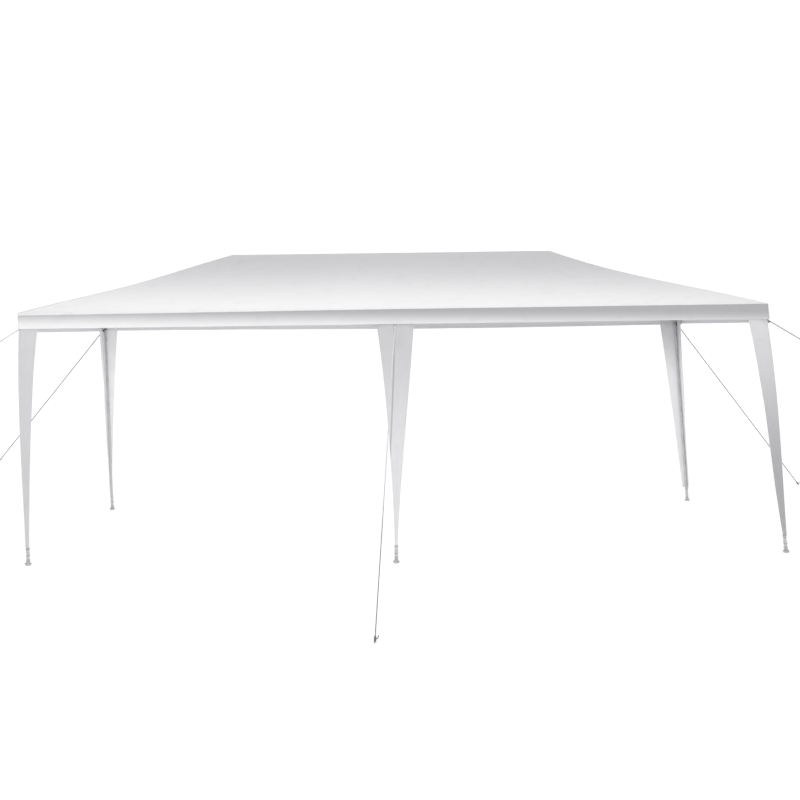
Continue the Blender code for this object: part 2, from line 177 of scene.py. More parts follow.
def make_studio_sky():
    world = bpy.data.worlds.new("studio_sky")
    world.use_nodes = True
    tree = world.node_tree
    tree.nodes.clear()
    direction = add_node(tree, "ShaderNodeTexCoord").outputs["Generated"]
    height = add_node(tree, "ShaderNodeSeparateXYZ", {"Vector": direction}).outputs["Z"]
    glow = ramp(tree, height, 0.28, 0.75, HORIZON_LIGHT, ZENITH_LIGHT)
    background = add_node(tree, "ShaderNodeBackground", {"Color": (1.0, 1.0, 1.0, 1.0), "Strength": glow})
    add_node(tree, "ShaderNodeOutputWorld", {"Surface": background.outputs[0]})
    bpy.context.scene.world = world


def make_soft_box(name, place, aim, width, depth, power):
    data = bpy.data.lights.new(name, "AREA")
    data.shape = "RECTANGLE"
    data.size = width
    data.size_y = depth
    data.energy = power
    box = bpy.data.objects.new(name, data)
    away = Vector(place) - Vector(aim)
    box.matrix_world = Matrix.Translation(place) @ away.to_track_quat("Z", "Y").to_matrix().to_4x4()
    box.visible_camera = False
    bpy.context.scene.collection.objects.link(box)


make_studio_sky()
make_soft_box("overhead_box", (0.0, 0.0, 7.0), (0.0, 0.0, 0.0), 9.0, 6.0, 90.0)
make_soft_box("front_strip", (0.0, -2.3, 3.7), (0.0, -1.2, 2.1), 8.0, 0.5, 34.0)
make_soft_box("rear_strip", (0.0, 2.6, 4.0), (0.0, 1.2, 2.1), 8.0, 0.6, 24.0)
bpy.context.scene.view_settings.view_transform = "Standard"

floor_mesh = bpy.data.meshes.new("studio_floor")
floor_corners = [(-FLOOR_HALF, -FLOOR_HALF, 0.0), (FLOOR_HALF, -FLOOR_HALF, 0.0)]
floor_corners += [(FLOOR_HALF, FLOOR_HALF, 0.0), (-FLOOR_HALF, FLOOR_HALF, 0.0)]
floor_mesh.from_pydata(floor_corners, [], [(0, 1, 2, 3)])
floor_material = bpy.data.materials.new("studio_floor")
floor_material.use_nodes = True
floor_shader = floor_material.node_tree.nodes["Principled BSDF"]
floor_shader.inputs["Base Color"].default_value = (0.86, 0.86, 0.86, 1.0)
floor_shader.inputs["Roughness"].default_value = 0.9
floor_shader.inputs["Emission Color"].default_value = (1.0, 1.0, 1.0, 1.0)
floor_tree = floor_material.node_tree
floor_place = add_node(floor_tree, "ShaderNodeTexCoord").outputs["Object"]
floor_reach = add_node(floor_tree, "ShaderNodeVectorMath", {0: floor_place}, operation="LENGTH").outputs[1]
floor_glow = ramp(floor_tree, floor_reach, 4.0, 14.0, 0.42, 0.56)
floor_tree.links.new(floor_glow, floor_shader.inputs["Emission Strength"])
floor_mesh.materials.append(floor_material)
studio_floor = bpy.data.objects.new("studio_floor", floor_mesh)
bpy.context.scene.collection.objects.link(studio_floor)
print("studio: sky, 3 soft boxes, floor", 2 * FLOOR_HALF, "m wide")

# %% [markdown]
# The cover is woven from flat plastic tapes about 2.4 mm wide, so light catches it in a fine
# plain weave, and a little light comes through it. The weave is the product of two sine waves in
# the cloth's own UV map, which is in metres. Long packing creases, a slow mottle and some dust
# give it the look of cloth that has been folded in a bag. Cover, valance and drapes share the
# recipe and differ in tone, and each has shade painted into its colour: a tone that changes with
# height, and on some a painted shadow line or a painted glow.

# %% Cloth finish
TAPE_WIDTH = 0.0024
CREASE_SPACING = 0.52


def weave_height(tree, cloth):
    across = add_node(tree, "ShaderNodeSeparateXYZ", {"Vector": cloth})
    turns = 2 * math.pi / (2 * TAPE_WIDTH)
    warp = math_node(tree, "SINE", math_node(tree, "MULTIPLY", across.outputs["X"], turns))
    weft = math_node(tree, "SINE", math_node(tree, "MULTIPLY", across.outputs["Y"], turns))
    return math_node(tree, "MULTIPLY", warp, weft), across


def crease_height(tree, across, mottle):
    """Shallow packing folds: lines in both directions, stronger in some places than in others."""
    lines = []
    for axis in ("X", "Y"):
        shifted = math_node(tree, "ADD", across.outputs[axis], 20.11)
        away = math_node(tree, "PINGPONG", shifted, CREASE_SPACING / 2)
        lines.append(ramp(tree, away, 0.0, 0.007, 1.0, 0.0))
    both = math_node(tree, "ADD", lines[0], lines[1])
    return math_node(tree, "MULTIPLY", both, ramp(tree, mottle, 0.40, 0.62, 0.0, 1.0))


# Painted shadow of a fold: a factor below one along a straight line down the cloth, which darkens its colour.
def crease_shade(tree, across, start, slope, half_width, depth):
    """One on the cloth, and less on a straight line down it."""
    middle = math_node(tree, "MULTIPLY_ADD", across.outputs["Y"], slope, start)
    away = math_node(tree, "ABSOLUTE", math_node(tree, "SUBTRACT", across.outputs["X"], middle))
    return ramp(tree, away, 0.0, half_width, 1.0 - depth, 1.0)


def make_cloth(
    name, low_tone, high_tone, low, high, see_through=0.16, lean=0.0, blotch=0.04, crease_shadow=None, glow=0.0
):
    """Woven cloth of one tone up to the height low and another from the height high.

    The change of tone is painted shade. Lean tips the change of tone along X, and blotch is how
    far its height wanders, in metres. A crease shadow is a painted shadow line down the cloth,
    where a fold would shade it: its place across at height zero, how much further across it is
    for each metre up, half its width, and how much darker it is. Glow is painted light: an
    emission that stands in for the light the cloth lets through from its far side.
    """
    material = bpy.data.materials.new(name)
    material.use_nodes = True
    tree = material.node_tree
    shader = tree.nodes["Principled BSDF"]
    coords = add_node(tree, "ShaderNodeTexCoord")
    weave, across = weave_height(tree, coords.outputs["UV"])
    mottle = add_node(
        tree, "ShaderNodeTexNoise", {"Vector": coords.outputs["Object"], "Scale": 1.7, "Detail": 3.0}
    ).outputs[0]
    grime = add_node(
        tree, "ShaderNodeTexNoise", {"Vector": coords.outputs["Object"], "Scale": 9.0, "Detail": 5.0}
    ).outputs[0]
    place = add_node(tree, "ShaderNodeSeparateXYZ", {"Vector": coords.outputs["Object"]})
    # Painted shade: the tone changes with height, and along X by lean, in place of light that falls off
    # across the cloth.
    height = math_node(tree, "MULTIPLY_ADD", place.outputs["X"], lean, place.outputs["Z"])
    drift = math_node(tree, "MULTIPLY_ADD", mottle, blotch, height)
    change = ramp(tree, drift, low, high, 0.0, 1.0)
    tone = add_node(
        tree,
        "ShaderNodeMix",
        {"Factor_Float": change, "A_Color": (*low_tone, 1.0), "B_Color": (*high_tone, 1.0)},
        data_type="RGBA",
    ).outputs[2]
    smudge_and_shade = ramp(tree, grime, 0.52, 0.80, 1.0, 0.955)
    # Painted shadow: a crease shadow darkens a line down the cloth, on top of the grime.
    if crease_shadow:
        smudge_and_shade = math_node(tree, "MULTIPLY", smudge_and_shade, crease_shade(tree, across, *crease_shadow))
    thread = math_node(tree, "MULTIPLY_ADD", weave, 0.012, smudge_and_shade)
    colour = add_node(tree, "ShaderNodeVectorMath", {0: tone, "Scale": thread}, operation="SCALE").outputs[0]
    tree.links.new(colour, shader.inputs["Base Color"])
    tree.links.new(ramp(tree, grime, 0.3, 0.7, 0.50, 0.62), shader.inputs["Roughness"])
    shader.inputs["Specular IOR Level"].default_value = 0.35
    shader.inputs["Sheen Weight"].default_value = 0.12
    shader.inputs["Sheen Roughness"].default_value = 0.45
    # Painted light: the cloth glows by the glow given, in place of light coming through it.
    shader.inputs["Emission Color"].default_value = (1.0, 1.0, 1.0, 1.0)
    shader.inputs["Emission Strength"].default_value = glow
    creases = crease_height(tree, across, mottle)
    folds = add_node(tree, "ShaderNodeBump", {"Strength": 0.5, "Distance": 0.0012, "Height": creases})
    soft = add_node(
        tree,
        "ShaderNodeBump",
        {"Strength": 0.35, "Distance": 0.004, "Height": mottle, "Normal": folds.outputs[0]},
    )
    fine = add_node(
        tree,
        "ShaderNodeBump",
        {"Strength": 0.30, "Distance": 0.0003, "Height": weave, "Normal": soft.outputs[0]},
    )
    tree.links.new(fine.outputs[0], shader.inputs["Normal"])
    if see_through > 0.0:
        veil = add_node(tree, "ShaderNodeBsdfTranslucent", {"Color": colour, "Normal": fine.outputs[0]})
        blend = add_node(
            tree, "ShaderNodeMixShader", {0: see_through, 1: shader.outputs[0], 2: veil.outputs[0]}
        )
        tree.links.new(blend.outputs[0], tree.nodes["Material Output"].inputs["Surface"])
    return material


def grey(value, cool=0.018):
    """A grey with a touch of blue."""
    return (value + cool * 0.15, value, min(value + cool, 1.0))


# Painted shade: the cover greys from the eave up to the ridge, and a little towards +X.
COVER_CLOTH = make_cloth("cover_cloth_woven", grey(0.935, 0.006), grey(0.640), 1.96, 2.545, lean=0.016)
# Painted shade: the valance greys towards its top, in the eave's shadow, and more so towards +X.
VALANCE_CLOTH = make_cloth(
    "valance_cloth_woven", grey(0.90, 0.006), grey(0.416), 1.854, 2.023, 0.0, lean=0.0150, blotch=0.010
)
# Painted shade: the valance's inner face is darker, as if in the canopy's shadow.
VALANCE_SHADED_INSIDE = make_cloth("valance_cloth_inside", grey(0.71), grey(0.62), 1.87, 1.93, 0.0, lean=0.08)
STRAP_CLOTH = make_cloth("strap_webbing", grey(0.70), grey(0.66), 1.9, 2.0)
# Painted shadow of a fold down the front middle drape.
MIDDLE_CREASE_SHADOW = (-0.0916, 0.0443, 0.010, 0.38)
# Painted shade: each drape has its own tones, darker or lighter up its height in place of the shade that
# falls on it. The columns: tone at the foot, tone from 1.9 m up, height where the change starts, and the
# share of light that comes through.
DRAPE_PAINTED_SHADES = {
    "front_left": (0.745, 0.745, 0.5, 0.16),
    "front_middle": (0.87, 0.67, 0.8, 0.16),
    "front_right": (0.50, 0.78, 0.5, 0.16),
    "rear_left": (0.88, 0.82, 1.3, 0.45),
    "rear_middle": (0.88, 0.80, 1.3, 0.45),
    "rear_right": (0.88, 0.73, 1.3, 0.45),
}
DRAPE_SHADED_CLOTHS = {
    name: make_cloth(
        name + "_drape_woven",
        grey(low_tone),
        grey(high_tone),
        low,
        1.9,
        see_through,
        crease_shadow=MIDDLE_CREASE_SHADOW if name == "front_middle" else None,
    )
    for name, (low_tone, high_tone, low, see_through) in DRAPE_PAINTED_SHADES.items()
}
# The rear drapes' inner faces: greyer towards the top, which is painted shade, and a glow, which is painted
# light in place of light through the cloth.
INSIDE_SHADE_AND_GLOW = {"rear_left": (0.73, 0.17), "rear_middle": (0.62, 0.09), "rear_right": (0.59, 0.09)}
DRAPE_SHADED_INSIDES = {
    name: make_cloth(
        name + "_drape_inside", grey(0.88, 0.006), grey(high_tone), 1.3, 1.9, 0.30, blotch=0.02, glow=glow
    )
    for name, (high_tone, glow) in INSIDE_SHADE_AND_GLOW.items()
}
print("cloth finishes:", 4 + len(DRAPE_SHADED_CLOTHS) + len(DRAPE_SHADED_INSIDES))

# %% [markdown]
# The poles are thin galvanised tube. Zinc cools in flat crystals, the spangle, which a Voronoi
# texture gives as patches of slightly different grey and gloss, and long fine scratches come from
# a noise that is squeezed flat across the pole. The rope is twisted from pale fibres that run
# along each strand, read from the UV map that the rope's tree stores, and the thread of the
# seams is plain white.

# %% Steel, rope and thread finishes
def make_steel(name, colour, roughness, spangle_size, scuff):
    material = bpy.data.materials.new(name)
    material.use_nodes = True
    tree = material.node_tree
    shader = tree.nodes["Principled BSDF"]
    place = add_node(tree, "ShaderNodeTexCoord").outputs["Object"]
    crystals = add_node(tree, "ShaderNodeTexVoronoi", {"Vector": place, "Scale": 1.0 / spangle_size})
    crystal_tone = add_node(tree, "ShaderNodeSeparateColor", {"Color": crystals.outputs["Color"]}).outputs[0]
    squeezed = add_node(tree, "ShaderNodeMapping", {"Vector": place, "Scale": (420.0, 420.0, 9.0)}).outputs[0]
    scratches = add_node(
        tree, "ShaderNodeTexNoise", {"Vector": squeezed, "Scale": 1.0, "Detail": 2.0}
    ).outputs[0]
    stains = add_node(tree, "ShaderNodeTexNoise", {"Vector": place, "Scale": 14.0, "Detail": 6.0}).outputs[0]
    shade = math_node(tree, "MULTIPLY_ADD", crystal_tone, 0.16, 0.90)
    worn = math_node(tree, "MULTIPLY", shade, ramp(tree, stains, 0.35, 0.75, 1.04, 1.0 - scuff))
    colour_node = add_node(
        tree, "ShaderNodeVectorMath", {0: colour, "Scale": worn}, operation="SCALE"
    ).outputs[0]
    tree.links.new(colour_node, shader.inputs["Base Color"])
    gloss = math_node(tree, "MULTIPLY_ADD", crystal_tone, 0.10, roughness - 0.05)
    dull = math_node(tree, "ADD", gloss, ramp(tree, scratches, 0.55, 0.75, 0.0, 0.14))
    tree.links.new(dull, shader.inputs["Roughness"])
    shader.inputs["Metallic"].default_value = 0.88
    bump = add_node(tree, "ShaderNodeBump", {"Strength": 0.25, "Distance": 0.0002, "Height": scratches})
    tree.links.new(bump.outputs[0], shader.inputs["Normal"])
    return material


def make_cord(name, low_tone, high_tone, fibre_turns, sheen=0.25):
    """Twisted cord: fibres run along the strand, which is U round it and V along it.

    Near the ground it has one tone, and from waist height up it has another: painted shade.
    """
    material = bpy.data.materials.new(name)
    material.use_nodes = True
    tree = material.node_tree
    shader = tree.nodes["Principled BSDF"]
    coords = add_node(tree, "ShaderNodeTexCoord")
    across = add_node(tree, "ShaderNodeSeparateXYZ", {"Vector": coords.outputs["UV"]})
    slant = math_node(tree, "MULTIPLY_ADD", across.outputs["Y"], 60.0, across.outputs["X"])
    fibres = math_node(tree, "SINE", math_node(tree, "MULTIPLY", slant, 2 * math.pi * fibre_turns))
    fuzz = add_node(
        tree, "ShaderNodeTexNoise", {"Vector": coords.outputs["Object"], "Scale": 900.0, "Detail": 2.0}
    ).outputs[0]
    soil = add_node(
        tree, "ShaderNodeTexNoise", {"Vector": coords.outputs["Object"], "Scale": 11.0, "Detail": 4.0}
    ).outputs[0]
    rise = add_node(tree, "ShaderNodeSeparateXYZ", {"Vector": coords.outputs["Object"]}).outputs["Z"]
    tone = add_node(
        tree,
        "ShaderNodeMix",
        {
            "Factor_Float": ramp(tree, rise, 0.35, 0.90, 0.0, 1.0),
            "A_Color": (*low_tone, 1.0),
            "B_Color": (*high_tone, 1.0),
        },
        data_type="RGBA",
    ).outputs[2]
    height = math_node(tree, "ADD", fibres, fuzz)
    shade = math_node(tree, "MULTIPLY_ADD", fibres, 0.05, ramp(tree, soil, 0.35, 0.75, 1.03, 0.88))
    colour = add_node(tree, "ShaderNodeVectorMath", {0: tone, "Scale": shade}, operation="SCALE").outputs[0]
    tree.links.new(colour, shader.inputs["Base Color"])
    shader.inputs["Roughness"].default_value = 0.82
    shader.inputs["Sheen Weight"].default_value = sheen
    bump = add_node(tree, "ShaderNodeBump", {"Strength": 0.5, "Distance": 0.0003, "Height": height})
    tree.links.new(bump.outputs[0], shader.inputs["Normal"])
    return material


POLE_STEEL = make_steel("pole_galvanised", (0.56, 0.56, 0.57), 0.42, 0.013, 0.12)
JOINT_STEEL = make_steel("connector_galvanised", (0.42, 0.42, 0.43), 0.46, 0.010, 0.20)
STAKE_STEEL = make_steel("stake_wire", (0.26, 0.26, 0.275), 0.36, 0.006, 0.25)
# Painted shade: each rope has its own tones near the ground and from waist height up, darkest on the rear
# ropes, which stand in shade.
CORD_PAINTED_SHADES = {
    "front_left": (0.50, 0.62),
    "front_middle": (0.34, 0.80),
    "front_right": (0.24, 0.24),
    "rear_left": (0.03, 0.03),
    "rear_middle": (0.03, 0.03),
    "rear_right": (0.03, 0.03),
}
GUY_CORDS = {
    name: make_cord(name + "_rope_twist", grey(low_tone), grey(high_tone), 4, sheen=0.1)
    for name, (low_tone, high_tone) in CORD_PAINTED_SHADES.items()
}
LACE_CORD = make_cord("lacing_twist", grey(0.78), grey(0.78), 3)
THREAD = make_cord("seam_thread", grey(0.80, 0.0), grey(0.80, 0.0), 2)
# Painted shade: the hip welts are dark grey, standing for the shadow line along the hip poles.
WELT_SHADE = make_cord("hip_welt_cloth", grey(0.50), grey(0.50), 2)
print("cords:", len(GUY_CORDS) + 3)

# %% [markdown]
# Two helpers finish every piece. The first turns an object's modifiers into a plain mesh at the
# origin, which is what the export wants. The second puts a finished piece on the frame: it rides
# on the one body, and may stand for nodes of the frame.

# %% Piece helpers
def new_object(name, mesh, material=None):
    piece = bpy.data.objects.new(name, mesh)
    bpy.context.scene.collection.objects.link(piece)
    if material is not None:
        mesh.materials.clear()
        mesh.materials.append(material)
    return piece


def settle(piece):
    """Apply all modifiers: the evaluated mesh becomes the piece's own plain mesh."""
    depsgraph = bpy.context.evaluated_depsgraph_get()
    mesh = bpy.data.meshes.new_from_object(piece.evaluated_get(depsgraph))
    mesh.name = piece.name
    piece.modifiers.clear()
    piece.data = mesh
    return piece


def smooth(mesh, degrees=35):
    mesh.shade_smooth()
    mesh.set_sharp_from_angle(angle=math.radians(degrees))


def fit_piece(piece, slot, *nodes):
    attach(piece, "root")
    if nodes:
        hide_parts(*nodes)
    triangles = sum(len(face.vertices) - 2 for face in piece.data.polygons)
    print(f"{piece.name}: {triangles} triangles, stands for {len(nodes)} nodes")
    return piece


def side_signs(name):
    across = {"left": -1, "middle": 0, "right": 1}
    return across[name.split("_")[1]], -1 if name.startswith("front") else 1


def leg_head(name):
    sign_x, sign_y = side_signs(name)
    return Vector((sign_x * LEG_X, sign_y * LEG_Y, FRAME_HEIGHT))


def leg_foot(name):
    head = leg_head(name)
    shift_x, shift_y = FOOT_SHIFT[name]
    return Vector((head.x + shift_x, head.y + shift_y, 0.0))


def leg_point(name, height):
    return leg_foot(name).lerp(leg_head(name), height / FRAME_HEIGHT)


# %% [markdown]
# The cover is one cloth sheet over the whole frame. It is creased over the hip poles and the
# ridge pole, and hangs between them under its own weight, which a formula gives at each point of
# the plan. On top of that come the small things that make it cloth: tension folds that fan out
# of the four corners and the two ridge ends, slow undulations, and a lap at the eave that turns
# down over the valance. The grid's columns bunch so that the hips run exactly along grid
# diagonals, because a crease that cuts across cells would look like a saw.

# %% Shape of the cover
CLOTH_THICKNESS = 0.0014
EAVE_LAP = 0.0045
LAP_GROWTH = {"left": 0.0042, "right": -0.0013}
LAP_STAND = 0.0016
FOLD_HEIGHT = 0.0026
FOLD_REACH = 0.75


def belly(share, skew=1.0, power=2):
    """Share of the sag, none at the eave and at the ridge. A skew over one moves it up the slope."""
    return math.sin(math.pi * share**skew) ** power


def hip_x(share):
    return HALF_LENGTH - (HALF_LENGTH - RIDGE_HALF) * share


def cover_height(x, y):
    """Height of the cover's under face over a point of the plan, without its folds."""
    side_share = (HALF_WIDTH - abs(y)) / HALF_WIDTH
    end_share = (HALF_LENGTH - abs(x)) / (HALF_LENGTH - RIDGE_HALF)
    share = max(min(side_share, end_share), 0.0)
    side = "left" if x < 0.0 else "right"
    hip_sag = HIP_SAG[side] * belly(share, *HIP_BELLY[side])
    middle_sag = MIDDLE_SAG * belly(share)
    panel_sag = PANEL_SAG * belly(share)
    if side_share <= end_share:
        outward = abs(x) / hip_x(share)
        sag = middle_sag + (hip_sag - middle_sag) * outward + panel_sag * 4 * outward * (1 - outward)
    else:
        outward = abs(y) / max(HALF_WIDTH * (1 - share), 1e-6)
        sag = hip_sag + panel_sag * (1 - outward**2)
    return EAVE_HEIGHT + (RIDGE_HEIGHT - EAVE_HEIGHT) * share - sag


def smooth_step(value, low, high):
    share = min(max((value - low) / (high - low), 0.0), 1.0)
    return share * share * (3 - 2 * share)


def fan_folds(x, y, corner, count, reach, height):
    """Folds that radiate from a point where the cloth is pulled, and die out with distance."""
    away_x = x - corner[0]
    away_y = y - corner[1]
    distance = math.hypot(away_x, away_y)
    angle = math.atan2(away_y, away_x)
    wave = math.sin(angle * count + 1.7 * corner[0])
    return height * wave * math.exp(-distance / reach) * smooth_step(distance, 0.03, 0.35)


def eave_lap(x):
    """How far the cover turns down over the valance: it was hemmed deeper towards the left."""
    return EAVE_LAP + LAP_GROWTH["left" if x < 0.0 else "right"] * abs(x)


def cover_folds(x, y):
    """How far the cloth stands off its smooth shape. It never dips far enough to meet a pole."""
    lift = 0.0
    for sign_x in (-1, 1):
        for sign_y in (-1, 1):
            corner = (sign_x * HALF_LENGTH, sign_y * HALF_WIDTH)
            lift += fan_folds(x, y, corner, 14, FOLD_REACH, FOLD_HEIGHT)
        lift += fan_folds(x, y, (sign_x * RIDGE_HALF, 0.0), 10, 0.5, FOLD_HEIGHT * 0.6)
    lift += 0.0016 * noise.noise(Vector((x * 1.3, y * 1.9, 4.2)))
    lift += 0.0010 * noise.noise(Vector((x * 4.1, y * 5.3, 8.9)))
    edge = min((HALF_LENGTH - abs(x)), (HALF_WIDTH - abs(y)))
    return lift * smooth_step(edge, 0.0, 0.25)


def cover_point(x, y, lift=0.0):
    """A point on the middle of the cover's cloth, or lifted from it along Z."""
    return Vector((x, y, cover_height(x, y) + CLOTH_THICKNESS / 2 + cover_folds(x, y) + lift))


print(f"cover at the middle of the front slope: {cover_height(0.7, -0.75):.3f} m")

# %% [markdown]
# The mesh is a grid in the plan, with rows across the slopes and columns along them. A cell that
# a hip crosses is split into two triangles along that hip. The outermost ring of vertices is
# pulled down and out a little: that is the lap. Solidify then gives the sheet a thin closed
# thickness, and the UV map holds each point's place on the flat cloth, in metres.

# %% Cover mesh
SLOPE_ROWS = 62
RIDGE_COLUMNS = 58


def cover_column(column):
    size = abs(column)
    if size <= RIDGE_COLUMNS:
        return math.copysign(RIDGE_HALF * size / RIDGE_COLUMNS, column)
    beyond = (size - RIDGE_COLUMNS) / SLOPE_ROWS
    return math.copysign(RIDGE_HALF + (HALF_LENGTH - RIDGE_HALF) * beyond, column)


def cover_grid():
    """Places, cloth coordinates and faces of the cover's grid, the lap's ring included."""
    columns = RIDGE_COLUMNS + SLOPE_ROWS
    places = []
    flat = []
    index = {}
    for row in range(-SLOPE_ROWS - 1, SLOPE_ROWS + 2):
        for column in range(-columns - 1, columns + 2):
            inner_row = max(-SLOPE_ROWS, min(SLOPE_ROWS, row))
            inner_column = max(-columns, min(columns, column))
            x = cover_column(inner_column)
            y = HALF_WIDTH * inner_row / SLOPE_ROWS
            point = cover_point(x, y)
            over_x = column - inner_column
            over_y = row - inner_row
            lap = eave_lap(x)
            if over_x or over_y:
                point += Vector((over_x * LAP_STAND, over_y * LAP_STAND, -lap))
            index[column, row] = len(places)
            places.append(point)
            flat.append((x + over_x * lap, (y + over_y * lap) / math.cos(SLOPE_ANGLE)))
    faces = []
    for row in range(-SLOPE_ROWS - 1, SLOPE_ROWS + 1):
        for column in range(-columns - 1, columns + 1):
            a, b = index[column, row], index[column + 1, row]
            c, d = index[column + 1, row + 1], index[column, row + 1]
            middle_column = abs(column + 0.5) - RIDGE_COLUMNS
            on_hip = abs(middle_column - abs(row + 0.5)) < 0.25
            if not on_hip:
                faces.append((a, b, c, d))
            elif (column + 0.5) * (row + 0.5) > 0:
                faces += [(a, b, c), (a, c, d)]
            else:
                faces += [(a, b, d), (b, c, d)]
    return places, flat, faces


def mesh_with_cloth_map(name, places, flat, faces):
    mesh = bpy.data.meshes.new(name)
    mesh.from_pydata(places, [], faces)
    layer = mesh.uv_layers.new(name="cloth")
    for loop in mesh.loops:
        layer.data[loop.index].uv = flat[loop.vertex_index]
    return mesh


def thicken(piece, thickness, hem_share=None):
    wall = piece.modifiers.new("thickness", "SOLIDIFY")
    wall.thickness = thickness
    wall.offset = 0.0
    if hem_share is not None:
        wall.vertex_group = "hem"
        wall.thickness_vertex_group = hem_share


cover = new_object("roof_cover_cloth", mesh_with_cloth_map("roof_cover_cloth", *cover_grid()), COVER_CLOTH)
thicken(cover, CLOTH_THICKNESS)
settle(cover)
smooth(cover.data, 40)
fit_piece(cover, "cover_cloth", "roof_cover")

# %% [markdown]
# The cover is sewn from a rectangle with its hips taken in, so the flat rectangle is a little
# longer and wider than the plan, and the cloth in it is what the four slopes measure. The poles
# that it rests on are listed here.

cover_rests = [f"{name}_hip_rafter" for name in LEGS if "middle" not in name]
cover_rests += ["left_ridge_tube", "right_ridge_tube", "front_middle_rafter", "rear_middle_rafter"]

# %% [markdown]
# The valance is a band of cloth, 12 cm deep, that hangs all round the eave. It is sewn in under
# the cover's lap and sways a little towards its hem, which hangs deeper at the rear and at the
# ends. One sheet runs round the four sides, with a small round bend at each corner, and its hem
# is a double layer: Solidify reads a vertex group there and makes the cloth twice as thick. The
# inner face is painted darker than the outer: painted shade, for the inside of the band in the
# canopy's shadow.

# %% Valance
VALANCE_TOP = EAVE_HEIGHT - 0.0006
VALANCE_BOTTOM = EAVE_HEIGHT - 0.122
VALANCE_CORNER = 0.012
VALANCE_STEP = 0.016
HEM_DEPTH = 0.014
HEM_THICKNESS = 0.0024
RIGHT_FLARE = 0.010
END_DIP = 0.029
REAR_DIP = 0.022
REAR_DIP_MOST = 0.0468
REAR_DIP_PLACE = 0.8


def band_path(half_x, half_y, radius, step):
    """Points and outward directions of a rounded rectangle, with the way along it."""
    path = []
    corners = [(1, 1, 0.0), (-1, 1, 0.5), (-1, -1, 1.0), (1, -1, 1.5)]
    for sign_x, sign_y, start in corners:
        centre = Vector((sign_x * (half_x - radius), sign_y * (half_y - radius), 0.0))
        for turn in range(7):
            angle = math.pi * (start + turn / 12)
            outward = Vector((math.cos(angle), math.sin(angle), 0.0))
            path.append((centre + outward * radius, outward))
    full = []
    for (point, outward), (after, outward_after) in zip(path, path[1:] + path[:1]):
        gap = (after - point).length
        pieces = max(1, round(gap / step)) if gap > 3 * radius else 1
        for piece in range(pieces):
            share = piece / pieces
            full.append((point.lerp(after, share), outward.lerp(outward_after, share).normalized()))
    return full


def valance_offset(point, share, way):
    """How far out the valance stands at a share of its depth, and at a way along the band."""
    sway = 0.0020 * (1 + noise.noise(Vector((way * 1.1, 2.7, 0.0)))) * share**2
    ripple = 0.0010 * noise.noise(Vector((way * 5.0, share * 2.0, 6.1))) * share
    return sway + ripple + RIGHT_FLARE * smooth_step(point.x, 2.90, 2.99) * share


def valance_height(point, share, way):
    """Height of the band at a share of its depth: the hem dips at the two ends and behind."""
    end_dip = END_DIP * smooth_step(point.y, -HALF_WIDTH + 0.012, -HALF_WIDTH + 0.16)
    reach = 2.2 if point.x < REAR_DIP_PLACE else 3.0
    bulge = math.exp(-(((point.x - REAR_DIP_PLACE) / reach) ** 2))
    rear_dip = REAR_DIP + (REAR_DIP_MOST - REAR_DIP) * bulge
    dip = end_dip + (rear_dip - end_dip) * smooth_step(point.y, 1.25, 1.48)
    wander = 0.0012 * noise.noise(Vector((way * 2.3, 9.0, 0.0)))
    return VALANCE_TOP - (VALANCE_TOP - VALANCE_BOTTOM + dip - wander) * share


def make_valance():
    shares = [row / 11 for row in range(10)]
    depth = VALANCE_TOP - VALANCE_BOTTOM
    hem_top = 1 - HEM_DEPTH / depth
    shares = [share for share in shares if share < hem_top - 0.02]
    shares += [hem_top - 0.004, hem_top, (1 + hem_top) / 2, 1.0]
    inset = CLOTH_THICKNESS / 2 + LAP_STAND / 2
    path = band_path(HALF_LENGTH - inset, HALF_WIDTH - inset, VALANCE_CORNER, VALANCE_STEP)
    places = []
    flat = []
    way = 0.0
    previous = path[0][0]
    for point, outward in path:
        way += (point - previous).length
        previous = point
        for share in shares:
            place = point + outward * valance_offset(point, share, way)
            place.z = valance_height(point, share, way)
            places.append(place)
            flat.append((way, -depth * share))
    rows = len(shares)
    faces = []
    for column in range(len(path)):
        after = (column + 1) % len(path)
        for row in range(rows - 1):
            a, b = column * rows + row, after * rows + row
            faces.append((a, a + 1, b + 1, b))
    mesh = mesh_with_cloth_map("valance_band", places, flat, faces)
    band = new_object("valance_band", mesh, VALANCE_CLOTH)
    hem = band.vertex_groups.new(name="hem")
    doubled = [i for i in range(len(places)) if shares[i % rows] >= hem_top]
    hem.add(doubled, 1.0, "REPLACE")
    mesh.materials.append(VALANCE_SHADED_INSIDE)
    thicken(band, HEM_THICKNESS, CLOTH_THICKNESS / HEM_THICKNESS)
    band.modifiers["thickness"].material_offset = 1
    settle(band)
    smooth(band.data, 40)
    band_length = way + (path[0][0] - previous).length
    return band, band_length


valance, valance_length = make_valance()
fit_piece(valance, "valance_cloth", "front_valance", "rear_valance", "left_valance", "right_valance")
print(f"valance band {valance_length:.2f} m long")

# %% [markdown]
# Each leg has a drape: a tapering strip of the same cloth that hangs from the eave, wide at the
# top and narrow at the foot. On a corner leg it is folded round the outside of the pole, and on a
# middle leg it hangs flat in front of it. Both kinds come from one function, which gives the
# place of a point of the flat strip: how far across it lies from the fold, and how high. Side
# hems and a bottom hem are doubled cloth.

